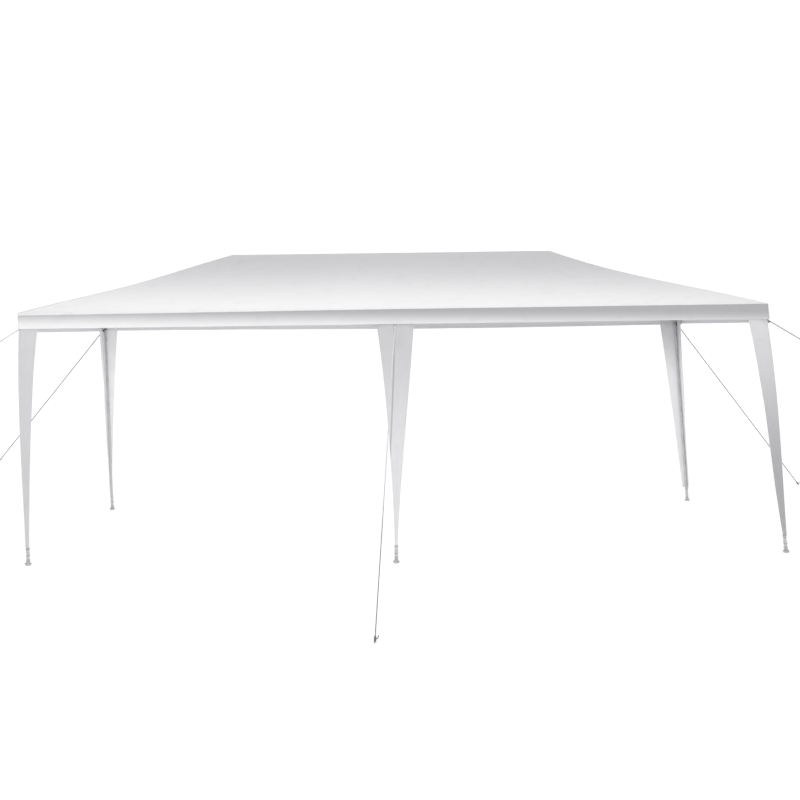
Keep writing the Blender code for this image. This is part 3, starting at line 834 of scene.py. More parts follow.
# %% Shape of a drape
DRAPE_TOP = 2.01
DRAPE_BEND = 1.868
DRAPE_BOTTOM = 0.145
DRAPE_CLOTH_THICKNESS = 0.0011
DRAPE_HEM_THICKNESS = 0.0021
DRAPE_HEM = 0.011
DRAPE_INSET = 0.0047
DRAPE_STANDOFF = 0.0168
FOLD_RADIUS = 0.012
FLAP = {
    "front_left": (0.032, 0.158, 1.1),
    "front_middle": (0.012, 0.161, 1.35),
    "front_right": (0.032, 0.160, 0.80),
    "rear_left": (0.018, 0.163, 1.3),
    "rear_middle": (0.014, 0.155, 1.3),
    "rear_right": (0.055, 0.183, 1.15),
}
DRAPE_BOW = {
    "front_left": (-0.016, -0.006),
    "front_middle": (0.010, 0.0),
    "front_right": (0.020, -0.006),
    "rear_left": (0.0, 0.0),
    "rear_middle": (0.0, 0.0),
    "rear_right": (0.0, 0.0),
}
DRAPE_PHASE = {name: 1.9 * number for number, name in enumerate(LEGS)}


def flap_width(name, height):
    bottom, top, power = FLAP[name]
    share = (height - DRAPE_BOTTOM) / (DRAPE_TOP - DRAPE_BOTTOM)
    return bottom + (top - bottom) * max(share, 0.0) ** power


def drape_spine(name, height):
    """The line down the outside of the leg that the drape is folded or centred on."""
    sign_x, sign_y = side_signs(name)
    top = Vector((sign_x * (HALF_LENGTH - DRAPE_INSET), sign_y * (HALF_WIDTH - DRAPE_INSET), height))
    if height >= DRAPE_BEND:
        return top
    low = leg_point(name, DRAPE_BOTTOM) + Vector((sign_x, sign_y, 0.0)) * DRAPE_STANDOFF
    share = max((height - DRAPE_BOTTOM) / (DRAPE_BEND - DRAPE_BOTTOM), 0.0)
    bow = max(math.sin(math.pi * share**1.5), 0.0) ** 0.8
    spine = low.lerp(top, share) + Vector((*DRAPE_BOW[name], 0.0)) * bow
    spine.z = height
    return spine


def drape_ripple(name, across, width, height):
    """Soft folds of the free edge, none behind the valance and at the laced end."""
    share = (height - DRAPE_BOTTOM) / (DRAPE_TOP - DRAPE_BOTTOM)
    free = smooth_step(share, 0.0, 0.25) * smooth_step(1 - share, 0.04, 0.35)
    edge = (abs(across) / width) ** 1.4
    phase = DRAPE_PHASE[name] + (2.0 if across > 0 else 0.0)
    slow = math.sin(5.3 * height + phase + 3.0 * abs(across) / width)
    quick = math.sin(13.0 * height - 2.1 * phase + 5.0 * abs(across) / width)
    return free * edge * (0.0050 * slow + 0.0020 * quick)


def drape_point(name, across, height, lift=0.0):
    """A point of the drape, and lifted outwards from it: across is signed, from the fold."""
    sign_x, sign_y = side_signs(name)
    spine = drape_spine(name, height)
    width = flap_width(name, height)
    if sign_x == 0:
        back = 0.010 * (abs(across) / width) ** 2 * smooth_step(height, 0.1, 1.2)
        out = lift - back + drape_ripple(name, across, width, height)
        return spine + Vector((across, sign_y * out, 0.0))
    centre = spine - Vector((sign_x, sign_y, 0.0)) * FOLD_RADIUS
    half_arc = FOLD_RADIUS * math.pi / 4
    if abs(across) <= half_arc:
        angle = math.pi / 4 + across / FOLD_RADIUS
        outward = Vector((sign_x * math.cos(angle), sign_y * math.sin(angle), 0.0))
        return centre + outward * (FOLD_RADIUS + lift)
    beyond = abs(across) - half_arc
    stand = FOLD_RADIUS + lift + drape_ripple(name, beyond, width, height)
    if across > 0:
        return centre + Vector((-sign_x * beyond, sign_y * stand, 0.0))
    return centre + Vector((sign_x * stand, -sign_y * beyond, 0.0))


def drape_reach(name, height):
    """How far the cloth goes from the fold to its edge, measured along the cloth."""
    width = flap_width(name, height)
    if name.endswith("middle"):
        return width
    return width - FOLD_RADIUS + FOLD_RADIUS * math.pi / 4


print(f"drape widths at the eave: corner {flap_width('front_left', DRAPE_TOP):.3f} m a flap")

# %% [markdown]
# The strip's grid has a double line of vertices where each hem begins, so that the step up to
# the doubled cloth is sharp. The rope goes out through an eyelet, and its hole is cut with a
# Boolean once the cloth has its thickness.

# %% Drape meshes
ROPE_HEIGHT = {
    "front_left": 1.905,
    "front_middle": 1.893,
    "front_right": 1.897,
    "rear_left": 1.890,
    "rear_middle": 1.856,
    "rear_right": 1.876,
}
ROPE_RADIUS = 0.004
LOOP_RADIUS = 0.003
EYELET_HOLE = 0.0065
STAKE_PLACE = {
    "front_left": (-5.36, -3.95),
    "front_middle": (-0.19, -4.10),
    "front_right": (5.3602, -3.85),
    "rear_left": (-4.80, 2.65),
    "rear_middle": (0.08, 4.1027),
    "rear_right": (4.66, 2.553),
}
STAKE_LOOP_HEIGHT = 0.013


def rope_direction(name):
    """From the rope's loop on the leg to the loop on its stake."""
    start = leg_point(name, ROPE_HEIGHT[name])
    return (Vector((*STAKE_PLACE[name], STAKE_LOOP_HEIGHT)) - start).normalized()


def signed_shares(name, height):
    """Signed distances across the strip at one height: dense at the fold, doubled at the hems."""
    reach = drape_reach(name, height)
    hem = min(DRAPE_HEM, reach * 0.3)
    inner = reach - hem
    fold = 0.0 if name.endswith("middle") else FOLD_RADIUS * math.pi / 4
    half = [fold * step / 4 for step in range(5)] if fold else [0.0]
    half += [fold + (inner - 0.0006 - fold) * step / 9 for step in range(1, 10)]
    half += [inner, inner + hem / 2, reach]
    return [-value for value in reversed(half[1:])] + half


def drape_heights():
    low = [DRAPE_BOTTOM, DRAPE_BOTTOM + DRAPE_HEM, DRAPE_BOTTOM + DRAPE_HEM + 0.0006]
    steps = 120
    first = low[-1]
    return low + [first + (DRAPE_TOP - first) * step / steps for step in range(1, steps + 1)]


def aimed_cylinder(name, centre, direction, radius, length, segments=24):
    mesh = bpy.data.meshes.new(name)
    shape = bmesh.new()
    turn = direction.to_track_quat("Z", "Y").to_matrix().to_4x4()
    bmesh.ops.create_cone(
        shape,
        cap_ends=True,
        segments=segments,
        radius1=radius,
        radius2=radius,
        depth=length,
        matrix=Matrix.Translation(centre) @ turn,
    )
    shape.to_mesh(mesh)
    shape.free()
    return mesh


def eyelet_place(name):
    """Where the rope crosses the drape: start at the leg, and walk out until past the cloth."""
    start = leg_point(name, ROPE_HEIGHT[name])
    direction = rope_direction(name)
    spine = drape_spine(name, ROPE_HEIGHT[name])
    sign_x, sign_y = side_signs(name)
    if sign_x == 0:
        return start + direction * (abs(spine.y - start.y) / abs(direction.y))
    centre = spine - Vector((sign_x, sign_y, 0.0)) * FOLD_RADIUS
    for step in range(400):
        point = start + direction * (step * 0.0002)
        if math.hypot(point.x - centre.x, point.y - centre.y) > FOLD_RADIUS and step > 60:
            return point
    return point


def make_drape(name):
    heights = drape_heights()
    places = []
    flat = []
    doubled = []
    for height in heights:
        row = signed_shares(name, height)
        for number, across in enumerate(row):
            if number <= 2 or number >= len(row) - 3 or height <= DRAPE_BOTTOM + DRAPE_HEM + 1e-6:
                doubled.append(len(places))
            places.append(drape_point(name, across, height))
            flat.append((across, height))
    columns = len(row)
    faces = []
    for line in range(len(heights) - 1):
        for column in range(columns - 1):
            a = line * columns + column
            faces.append((a, a + 1, a + columns + 1, a + columns))
    mesh = mesh_with_cloth_map(name + "_drape_cloth", places, flat, faces)
    drape = new_object(name + "_drape_cloth", mesh, DRAPE_SHADED_CLOTHS[name])
    drape.vertex_groups.new(name="hem").add(doubled, 1.0, "REPLACE")
    sign_x, sign_y = side_signs(name)
    if mesh.polygons[0].normal.dot(Vector((sign_x, sign_y, 0.0))) < 0.0:
        mesh.flip_normals()
    thicken(drape, DRAPE_HEM_THICKNESS, DRAPE_CLOTH_THICKNESS / DRAPE_HEM_THICKNESS)
    # Rear drapes wear the finish with painted shade and painted glow on their inner face.
    if sign_y > 0:
        mesh.materials.append(DRAPE_SHADED_INSIDES[name])
        drape.modifiers["thickness"].material_offset = 1
    direction = rope_direction(name)
    punch_mesh = aimed_cylinder("punch", eyelet_place(name), direction, EYELET_HOLE - 0.0006, 0.02)
    punch = new_object("punch", punch_mesh)
    cut = drape.modifiers.new("eyelet", "BOOLEAN")
    cut.object = punch
    cut.operation = "DIFFERENCE"
    settle(drape)
    bpy.data.objects.remove(punch, do_unlink=True)
    smooth(drape.data, 40)
    return drape


for leg in LEGS:
    drape = make_drape(leg)
    fit_piece(drape, "drape_cloth", leg + "_leg_drape")
    steps = 60

# %% [markdown]
# A pole is a round section that follows a line and changes its girth on the way: where two
# lengths of tube join, the end of one is swaged down and slides into the other, which shows as a
# small step and a spring button. A Geometry Nodes tree sweeps the section: the line comes in as
# a chain of edges with its radius stored on each point, becomes a curve, and is swept with that
# radius. Poles, stakes and the hip welts use it.

# %% Tree that sweeps a round bar
def new_tree(name, sizes):
    """A geometry tree with named inputs. Returns the tree, its input node and the identifiers."""
    tree = bpy.data.node_groups.new(name, "GeometryNodeTree")
    tree.interface.new_socket(name="Geometry", in_out="INPUT", socket_type="NodeSocketGeometry")
    keys = {}
    for label, (kind, value) in sizes.items():
        socket = tree.interface.new_socket(name=label, in_out="INPUT", socket_type="NodeSocket" + kind)
        if value is not None:
            socket.default_value = value
        keys[label] = socket.identifier
    tree.interface.new_socket(name="Geometry", in_out="OUTPUT", socket_type="NodeSocketGeometry")
    return tree, add_node(tree, "NodeGroupInput"), keys


def end_tree(tree, geometry, material):
    """Every tree ends alike: real geometry instead of instances, and its material."""
    real = add_node(tree, "GeometryNodeRealizeInstances", {"Geometry": geometry})
    dressed = add_node(
        tree, "GeometryNodeSetMaterial", {"Geometry": real.outputs[0], "Material": material}
    )
    add_node(tree, "NodeGroupOutput", {0: dressed.outputs[0]})


def run_tree(piece, tree, keys, values):
    modifier = piece.modifiers.new(tree.name, "NODES")
    modifier.node_group = tree
    for label, value in values.items():
        modifier[keys[label]] = value
    return settle(piece)


def make_bar_tree():
    tree, given, keys = new_tree("sweep_round_bar", {"Sides": ("Int", 32), "Finish": ("Material", None)})
    line = add_node(tree, "GeometryNodeMeshToCurve", {"Mesh": given.outputs["Geometry"]})
    girth = add_node(tree, "GeometryNodeInputNamedAttribute", {"Name": "girth"}, data_type="FLOAT")
    section = add_node(
        tree, "GeometryNodeCurvePrimitiveCircle", {"Resolution": given.outputs["Sides"], "Radius": 1.0}
    )
    bar = add_node(
        tree,
        "GeometryNodeCurveToMesh",
        {
            "Curve": line.outputs[0],
            "Profile Curve": section.outputs[0],
            "Scale": girth.outputs[0],
            "Fill Caps": True,
        },
    )
    end_tree(tree, bar.outputs[0], given.outputs["Finish"])
    return tree, keys


BAR_TREE, BAR_KEYS = make_bar_tree()


def line_mesh(name, points, girths=None):
    mesh = bpy.data.meshes.new(name)
    mesh.from_pydata(points, [(i, i + 1) for i in range(len(points) - 1)], [])
    if girths is not None:
        stored = mesh.attributes.new("girth", "FLOAT", "POINT")
        for item, girth in zip(stored.data, girths):
            item.value = girth
    return mesh


def sweep(name, points, girths, sides, material):
    """A round bar along points, with a radius at each."""
    bar = new_object(name, line_mesh(name, points, girths))
    run_tree(bar, BAR_TREE, BAR_KEYS, {"Sides": sides, "Finish": material})
    smooth(bar.data, 40)
    return bar


def join(pieces):
    """Several objects as one mesh. The first one keeps its name."""
    shape = bmesh.new()
    for piece in pieces:
        shape.from_mesh(piece.data)
    first = pieces[0]
    shape.to_mesh(first.data)
    shape.free()
    for piece in pieces[1:]:
        bpy.data.objects.remove(piece, do_unlink=True)
    return first


print("tree:", BAR_TREE.name, "inputs:", ", ".join(BAR_KEYS))

# %% [markdown]
# Turned pieces, such as a foot, a button or an eyelet, are an outline spun about an axis. The
# outline is a list of radius and height, and the spinning is a plain loop, because it has to
# close neatly on the axis and aim the result anywhere.

# %% Turned pieces
def turned(name, outline, base, axis, segments, material):
    """Spin (radius, height) pairs about an axis through base. The outline runs top to bottom."""
    turn = axis.to_track_quat("Z", "Y").to_matrix()
    places = []
    rings = []
    for radius, height in outline:
        if radius < 1e-6:
            rings.append([len(places)] * segments)
            places.append(base + turn @ Vector((0.0, 0.0, height)))
            continue
        rings.append(list(range(len(places), len(places) + segments)))
        for step in range(segments):
            angle = 2 * math.pi * step / segments
            local = Vector((radius * math.cos(angle), radius * math.sin(angle), height))
            places.append(base + turn @ local)
    faces = []
    for upper, lower in zip(rings, rings[1:]):
        for step in range(segments):
            after = (step + 1) % segments
            corners = [upper[step], lower[step], lower[after], upper[after]]
            face = list(dict.fromkeys(corners))
            if len(face) > 2:
                faces.append(face)
    mesh = bpy.data.meshes.new(name)
    mesh.from_pydata(places, [], faces)
    piece = new_object(name, mesh, material)
    smooth(mesh, 30)
    return piece


def spring_button(place, outward):
    dome = [(0.0, 0.0026), (0.0016, 0.0024), (0.0028, 0.0017), (0.0034, 0.0006), (0.0034, -0.0015)]
    return turned("spring_button", dome, place, outward, 12, POLE_STEEL)


print("turned pieces: feet, buttons, eyelets")

# %% [markdown]
# A leg is two lengths of tube, joined at waist height, on an upturned dish that keeps it from
# sinking into grass. The dish is a turned outline with a rolled rim, a welded boss that takes
# the pole, and a small weld bead between them.

# %% Legs
FOOT_OUTLINE = (
    (0.0, 0.0322),
    (0.0150, 0.0322),
    (0.0164, 0.0316),
    (0.0168, 0.0304),
    (0.0168, 0.0098),
    (0.0179, 0.0088),
    (0.0186, 0.0086),
    (0.0230, 0.0118),
    (0.0272, 0.0158),
    (0.0282, 0.0167),
    (0.0291, 0.0166),
    (0.0295, 0.0157),
    (0.0292, 0.0146),
    (0.0262, 0.0095),
    (0.0226, 0.0040),
    (0.0206, 0.0008),
    (0.0194, 0.0),
    (0.0, 0.0),
)
JOINT_HEIGHT = 1.02
SWAGE_STEP = 0.0007
POLE_SIDES = 32


def joint_profile(length, joint):
    """Ways along a pole and its radius there: a plain tube with one swaged joint."""
    plain = TUBE_RADIUS
    stops = [
        (0.0, plain - 0.0006),
        (0.0008, plain),
        (joint - 0.0560, plain),
        (joint - 0.0500, plain - SWAGE_STEP),
        (joint - 0.0012, plain - SWAGE_STEP),
        (joint - 0.0010, plain + 0.0004),
        (joint + 0.0040, plain + 0.0004),
        (joint + 0.0060, plain),
        (length - 0.0008, plain),
        (length, plain - 0.0006),
    ]
    return stops


def walk(points, way):
    """The place at a way along a chain of points, and the direction there."""
    left = way
    for start, end in zip(points, points[1:]):
        length = (end - start).length
        if left <= length or end is points[-1]:
            return start.lerp(end, left / length), (end - start).normalized()
        left -= length


def chain_length(points):
    return sum((b - a).length for a, b in zip(points, points[1:]))


def make_pole(name, points, joint_share=0.5, sides=POLE_SIDES):
    """A tube along points with a swaged joint part of the way, and its spring button."""
    length = chain_length(points)
    joint = length * joint_share
    stops = joint_profile(length, joint)
    if len(points) > 2:
        knots = []
        way = 0.0
        for start, end in zip(points, points[1:]):
            way += (end - start).length
            knots.append(way)
        taken = [stop for stop, _ in stops]
        extra = [knot for knot in knots[:-1] if min(abs(knot - stop) for stop in taken) > 0.01]
        stops = sorted(stops + [(knot, TUBE_RADIUS) for knot in extra])
    places = [walk(points, way)[0] for way, _ in stops]
    pole = sweep(name, places, [radius for _, radius in stops], sides, POLE_STEEL)
    place, along = walk(points, joint + 0.022)
    side = along.cross(Vector((0.0, 0.0, 1.0)))
    if side.length < 0.1:
        side = Vector((0.7, 0.7, 0.0))
    side.normalize()
    return join([pole, spring_button(place + side * (TUBE_RADIUS - 0.0002), side)])


def make_leg(name):
    head = leg_head(name)
    foot = leg_foot(name)
    top = head + (foot - head).normalized() * 0.040
    bottom = leg_point(name, 0.030)
    share = (JOINT_HEIGHT - bottom.z) / (top.z - bottom.z)
    pole = make_pole(name + "_leg_pole", [bottom, top], share)
    dish = turned("dish_foot", FOOT_OUTLINE, foot, Vector((0.0, 0.0, 1.0)), 48, POLE_STEEL)
    return fit_piece(join([pole, dish]), "pole_steel", name + "_leg")


for leg in LEGS:
    make_leg(leg)

# %% [markdown]
# The frame overhead is a ring of eave tubes, a ridge, four hip rafters and two middle rafters.
# The rafters follow the underside of the cloth, a pole's drop below it, so each is a chain of
# short straight runs through points of the cover's own formula. The runs are close enough
# together that the pole reads as one gently bowed tube.

# %% Poles of the roof
SOCKET_INSET = 0.040
RAFTER_STEPS = 24


def ridge_node(sign_x):
    return Vector((sign_x * RIDGE_HALF, 0.0, RIDGE_POLE_HEIGHT))


def rafter_line(name, steps=RAFTER_STEPS):
    """Points of a rafter's centre line, from the leg's head to the ridge."""
    sign_x, sign_y = side_signs(name)
    points = [leg_head(name)]
    for step in range(1, steps):
        share = step / steps
        if share < STRAIGHT_SHARE - 1e-6 or share > 1 - STRAIGHT_SHARE + 1e-6:
            continue
        x = sign_x * hip_x(share)
        y = sign_y * HALF_WIDTH * (1 - share)
        points.append(Vector((x, y, cover_height(x, y) - POLE_DROP)))
    points.append(ridge_node(sign_x))
    return points


def socketed(points):
    """The line with both ends stopped inside their sockets."""
    first = points[0] + (points[1] - points[0]).normalized() * SOCKET_INSET
    last = points[-1] + (points[-2] - points[-1]).normalized() * SOCKET_INSET
    return [first, *points[1:-1], last]


pole_lines = {}
for row in ("front", "rear"):
    left, middle, right = (leg_head(f"{row}_{side}") for side in ("left", "middle", "right"))
    pole_lines[f"{row}_left_eave_tube"] = [left, middle]
    pole_lines[f"{row}_right_eave_tube"] = [middle, right]
for side, sign in (("left", -1), ("right", 1)):
    pole_lines[f"{side}_end_tube"] = [leg_head(f"front_{side}"), leg_head(f"rear_{side}")]
    pole_lines[f"{side}_ridge_tube"] = [ridge_node(0), ridge_node(sign)]
for leg in LEGS:
    kind = "rafter" if leg.endswith("middle") else "hip_rafter"
    pole_lines[f"{leg}_{kind}"] = rafter_line(leg)
for node, points in pole_lines.items():
    fit_piece(make_pole(node + "_pole", socketed(points)), "pole_steel", node)

# %% [markdown]
# Where poles meet, a connector holds them: short sleeves of slightly wider tube, welded to a
# round hub. Each sleeve is a turned outline with a rounded lip at its mouth and a weld bead
# where it leaves the hub, and one screw clamps the pole inside it.

# %% Connectors
SLEEVE_LENGTH = 0.095
SOCKET_START = 0.038
SLEEVE_OUTLINE = (
    (0.0130, SOCKET_START),
    (0.0130, SLEEVE_LENGTH - 0.0006),
    (0.0137, SLEEVE_LENGTH),
    (0.0157, SLEEVE_LENGTH),
    (SLEEVE_RADIUS, SLEEVE_LENGTH - 0.0008),
    (SLEEVE_RADIUS, 0.0205),
    (0.0176, 0.0188),
    (0.0178, 0.0166),
    (0.0160, 0.0130),
    (0.0, 0.0100),
)
SCREW_OUTLINE = (
    (0.0, 0.0024),
    (0.0019, 0.0023),
    (0.0033, 0.0016),
    (0.0039, 0.0004),
    (0.0039, -0.0012),
)


def make_connector(name, node, directions):
    shapes = []
    hub_steps = 12
    hub_outline = []
    for step in range(hub_steps + 1):
        angle = math.pi * step / hub_steps
        hub_outline.append((HUB_RADIUS * math.sin(angle), HUB_RADIUS * math.cos(angle)))
    hub_outline[0] = (0.0, HUB_RADIUS)
    hub_outline[-1] = (0.0, -HUB_RADIUS)
    shapes.append(turned(name + "_sleeves", hub_outline, node, Vector((0.0, 0.0, 1.0)), 32, JOINT_STEEL))
    for direction in directions:
        reach = direction.normalized()
        shapes.append(turned("sleeve", SLEEVE_OUTLINE, node, reach, 32, JOINT_STEEL))
        side = reach.cross(Vector((0.0, 0.0, 1.0)))
        if side.length < 0.3:
            side = Vector((-node.x, -node.y, 0.0)) if abs(node.x) > 1.0 else Vector((1.0, 0.0, 0.0))
        if side.dot(Vector((node.x, node.y, 0.0))) > 0.0:
            side = -side
        side.normalize()
        head = node + reach * 0.066 + side * (SLEEVE_RADIUS - 0.0004)
        shapes.append(turned("clamp_screw", SCREW_OUTLINE, head, side, 14, JOINT_STEEL))
    return fit_piece(join(shapes), "connector_steel", name)


for leg in LEGS:
    sign_x, sign_y = side_signs(leg)
    head = leg_head(leg)
    line = rafter_line(leg)
    directions = [leg_foot(leg) - head, line[1] - line[0]]
    if sign_x == 0:
        directions += [Vector((-1.0, 0.0, 0.0)), Vector((1.0, 0.0, 0.0))]
        make_connector(f"{leg}_connector", head, directions)
    else:
        directions += [Vector((-sign_x, 0.0, 0.0)), Vector((0.0, -sign_y, 0.0))]
        make_connector(f"{leg}_corner_connector", head, directions)
for side, sign in (("left", -1), ("middle", 0), ("right", 1)):
    directions = [Vector((step, 0.0, 0.0)) for step in (-1.0, 1.0) if step != sign]
    for row in ("front", "rear"):
        line = rafter_line(f"{row}_{side}")
        directions.append(line[-2] - line[-1])
    make_connector(f"{side}_ridge_connector", ridge_node(sign), directions)

# %% [markdown]
# A guy rope is three strands twisted together. The tree takes the rope's middle line, resamples
# it evenly, and pushes three copies of it outwards, each a third of a turn apart, by an angle
# that grows with the length along the rope. Each copy is then swept with a small round section.
# The way along and round each strand is stored as a UV map, for the fibres of its finish.

# %% Tree that twists a rope
def make_rope_tree():
    sizes = {
        "Rope Radius": ("Float", ROPE_RADIUS),
        "Pitch": ("Float", 0.024),
        "Step": ("Float", 0.0035),
        "Strands": ("Int", 3),
        "Sides": ("Int", 5),
        "Finish": ("Material", None),
    }
    tree, given, keys = new_tree("twist_rope", sizes)
    line = add_node(tree, "GeometryNodeMeshToCurve", {"Mesh": given.outputs["Geometry"]})
    even = add_node(
        tree,
        "GeometryNodeResampleCurve",
        {"Curve": line.outputs[0], "Length": given.outputs["Step"]},
        mode="LENGTH",
    )
    strand_radius = math_node(tree, "MULTIPLY", given.outputs["Rope Radius"], 0.5)
    offset_size = math_node(tree, "MULTIPLY", given.outputs["Rope Radius"], 0.5)
    way = add_node(tree, "GeometryNodeSplineParameter").outputs["Length"]
    turns = math_node(tree, "DIVIDE", way, given.outputs["Pitch"])
    normal = add_node(tree, "GeometryNodeInputNormal").outputs[0]
    tangent = add_node(tree, "GeometryNodeInputTangent").outputs[0]
    binormal = add_node(
        tree, "ShaderNodeVectorMath", {0: tangent, 1: normal}, operation="CROSS_PRODUCT"
    ).outputs[0]
    gathered = add_node(tree, "GeometryNodeJoinGeometry")
    for strand in range(3):
        angle = math_node(tree, "MULTIPLY_ADD", turns, 2 * math.pi, 2 * math.pi * strand / 3)
        along_normal = add_node(
            tree,
            "ShaderNodeVectorMath",
            {0: normal, "Scale": math_node(tree, "COSINE", angle)},
            operation="SCALE",
        ).outputs[0]
        along_binormal = add_node(
            tree,
            "ShaderNodeVectorMath",
            {0: binormal, "Scale": math_node(tree, "SINE", angle)},
            operation="SCALE",
        ).outputs[0]
        both = add_node(
            tree, "ShaderNodeVectorMath", {0: along_normal, 1: along_binormal}, operation="ADD"
        ).outputs[0]
        offset = add_node(
            tree, "ShaderNodeVectorMath", {0: both, "Scale": offset_size}, operation="SCALE"
        ).outputs[0]
        moved = add_node(
            tree, "GeometryNodeSetPosition", {"Geometry": even.outputs[0], "Offset": offset}
        )
        tree.links.new(moved.outputs[0], gathered.inputs[0])
    strand_way = capture(tree, gathered.outputs[0], "Length")
    section = add_node(
        tree,
        "GeometryNodeCurvePrimitiveCircle",
        {"Resolution": given.outputs["Sides"], "Radius": strand_radius},
    )
    round_way = capture(tree, section.outputs[0], "Factor")
    swept = add_node(
        tree,
        "GeometryNodeCurveToMesh",
        {"Curve": strand_way[0], "Profile Curve": round_way[0], "Fill Caps": True},
    )
    both_ways = add_node(tree, "ShaderNodeCombineXYZ", {"X": round_way[1], "Y": strand_way[1]})
    mapped = add_node(
        tree,
        "GeometryNodeStoreNamedAttribute",
        {"Geometry": swept.outputs[0], "Name": "cloth", "Value": both_ways.outputs[0]},
        data_type="FLOAT2",
        domain="CORNER",
    )
    shaded = add_node(tree, "GeometryNodeSetShadeSmooth", {"Geometry": mapped.outputs[0]})
    end_tree(tree, shaded.outputs[0], given.outputs["Finish"])
    return tree, keys


def capture(tree, curve, quantity):
    """Keep a spline's length or factor on its points, so that it survives the sweep."""
    value = add_node(tree, "GeometryNodeSplineParameter").outputs[quantity]
    keeper = add_node(tree, "GeometryNodeCaptureAttribute")
    keeper.capture_items.new("FLOAT", "way")
    tree.links.new(curve, keeper.inputs["Geometry"])
    tree.links.new(value, keeper.inputs["way"])
    return keeper.outputs["Geometry"], keeper.outputs["way"]


ROPE_TREE, ROPE_KEYS = make_rope_tree()


def twist(name, points, radius, pitch, step, material, sides=5):
    rope = new_object(name, line_mesh(name, points))
    sizes = {
        "Rope Radius": radius,
        "Pitch": pitch,
        "Step": step,
        "Sides": sides,
        "Finish": material,
    }
    return run_tree(rope, ROPE_TREE, ROPE_KEYS, sizes)


print("tree:", ROPE_TREE.name, "inputs:", ", ".join(ROPE_KEYS))

# %% [markdown]
# Each rope is tied round its leg just under the eave tube, goes out through the eyelet in the
# drape, runs taut to its stake and is tied round the stake's shank. A knot is a few close turns
# of the same rope round its standing part, wound as a short helix, so the tree makes it as well.

# %% Guy ropes
TUBE_LOOP = TUBE_RADIUS + 0.0005 + LOOP_RADIUS
STAKE_RADIUS = 0.0032
STAKE_LOOP = STAKE_RADIUS + 0.0005 + LOOP_RADIUS
HOOK_TURN = {
    "front_left": -1,
    "front_middle": 1,
    "front_right": 1,
    "rear_left": 1,
    "rear_middle": -1,
    "rear_right": -1,
}
HOOK_ANGLE = math.radians(65)
KNOT_CLEARANCE = 0.010
KNOT_CORD = 0.0024
STAKE_FOOT = 0.006
HOOK_OUTLINE = (
    (0.0, 0.0),
    (0.0, STAKE_FOOT),
    (0.009, 0.021),
    (0.015, 0.027),
    (0.022, 0.033),
    (0.027, 0.041),
    (0.029, 0.051),
)
rope_lengths = {}


def stake_points(name):
    head = leg_head(name)
    stake_x, stake_y = STAKE_PLACE[name]
    away = Vector((stake_x - head.x, stake_y - head.y, 0.0)).normalized()
    side = Vector((-away.y, away.x, 0.0)) * HOOK_TURN[name]
    lean = away * math.cos(HOOK_ANGLE) + side * math.sin(HOOK_ANGLE)
    base = Vector((stake_x, stake_y, 0.0))
    return [base + lean * reach + Vector((0.0, 0.0, height)) for reach, height in HOOK_OUTLINE]


def ring_points(centre, axis, radius, facing, count):
    """A closed ring that starts and ends at the side that faces a direction."""
    flat_facing = (facing - axis * facing.dot(axis)).normalized()
    across = axis.cross(flat_facing)
    points = []
    for step in range(count + 1):
        angle = 2 * math.pi * step / count
        points.append(centre + (flat_facing * math.cos(angle) + across * math.sin(angle)) * radius)
    return points


def helix_points(start, direction, radius, length, turns, steps=10):
    """A helix about a straight line, for the turns of a knot or a lashing."""
    side = direction.orthogonal().normalized()
    across = direction.cross(side)
    points = []
    for step in range(int(turns * steps) + 1):
        angle = 2 * math.pi * step / steps
        forward = direction * (length * step / (turns * steps))
        points.append(start + forward + (side * math.cos(angle) + across * math.sin(angle)) * radius)
    return points


def make_guy(name):
    cord = GUY_CORDS[name]
    leg_axis = (leg_head(name) - leg_foot(name)).normalized()
    leg_centre = leg_point(name, ROPE_HEIGHT[name])
    points = stake_points(name)
    shank = (points[2] - points[1]).normalized()
    rise_share = (STAKE_LOOP_HEIGHT - points[1].z) / (points[2].z - points[1].z)
    stake_centre = points[1].lerp(points[2], rise_share)
    pull = (stake_centre - leg_centre).normalized()
    leg_ring = ring_points(leg_centre, leg_axis, TUBE_LOOP, pull, 40)
    stake_ring = ring_points(stake_centre, shank, STAKE_LOOP, -pull, 24)
    straight = [leg_ring[0], stake_ring[0]]
    line = (straight[1] - straight[0]).normalized()
    rope_lengths[name] = (straight[1] - straight[0]).length + 2 * math.pi * (TUBE_LOOP + STAKE_LOOP)
    parts = [
        twist(name + "_rope_twist", straight, ROPE_RADIUS, 0.032, 0.0045, cord),
        twist("leg_ring", leg_ring, LOOP_RADIUS, 0.024, 0.003, cord),
        twist("stake_ring", stake_ring, LOOP_RADIUS, 0.024, 0.002, cord),
    ]
    knot_start = eyelet_place(name) + line * KNOT_CLEARANCE
    turn_radius = ROPE_RADIUS + KNOT_CORD * 0.9
    leg_knot = helix_points(knot_start, line, turn_radius, 0.009, 2)
    stake_knot = helix_points(straight[1] - line * 0.030, line, turn_radius, 0.024, 4.5)
    parts.append(twist("leg_knot", leg_knot, KNOT_CORD, 0.020, 0.003, cord))
    parts.append(twist("stake_knot", stake_knot, KNOT_CORD, 0.020, 0.003, cord))
    return fit_piece(join(parts), "guy_rope", name + "_guy_rope")


for leg in LEGS:
    make_guy(leg)
print("rope lengths:", {name: round(length, 2) for name, length in rope_lengths.items()})

# %% [markdown]
# A stake is one bent wire: a shank that leans out of the ground and an arm that curls up into an
# open hook. Its few bends are smoothed with a Catmull-Rom curve, and the tip is rounded by
# letting the radius shrink over the last millimetres.

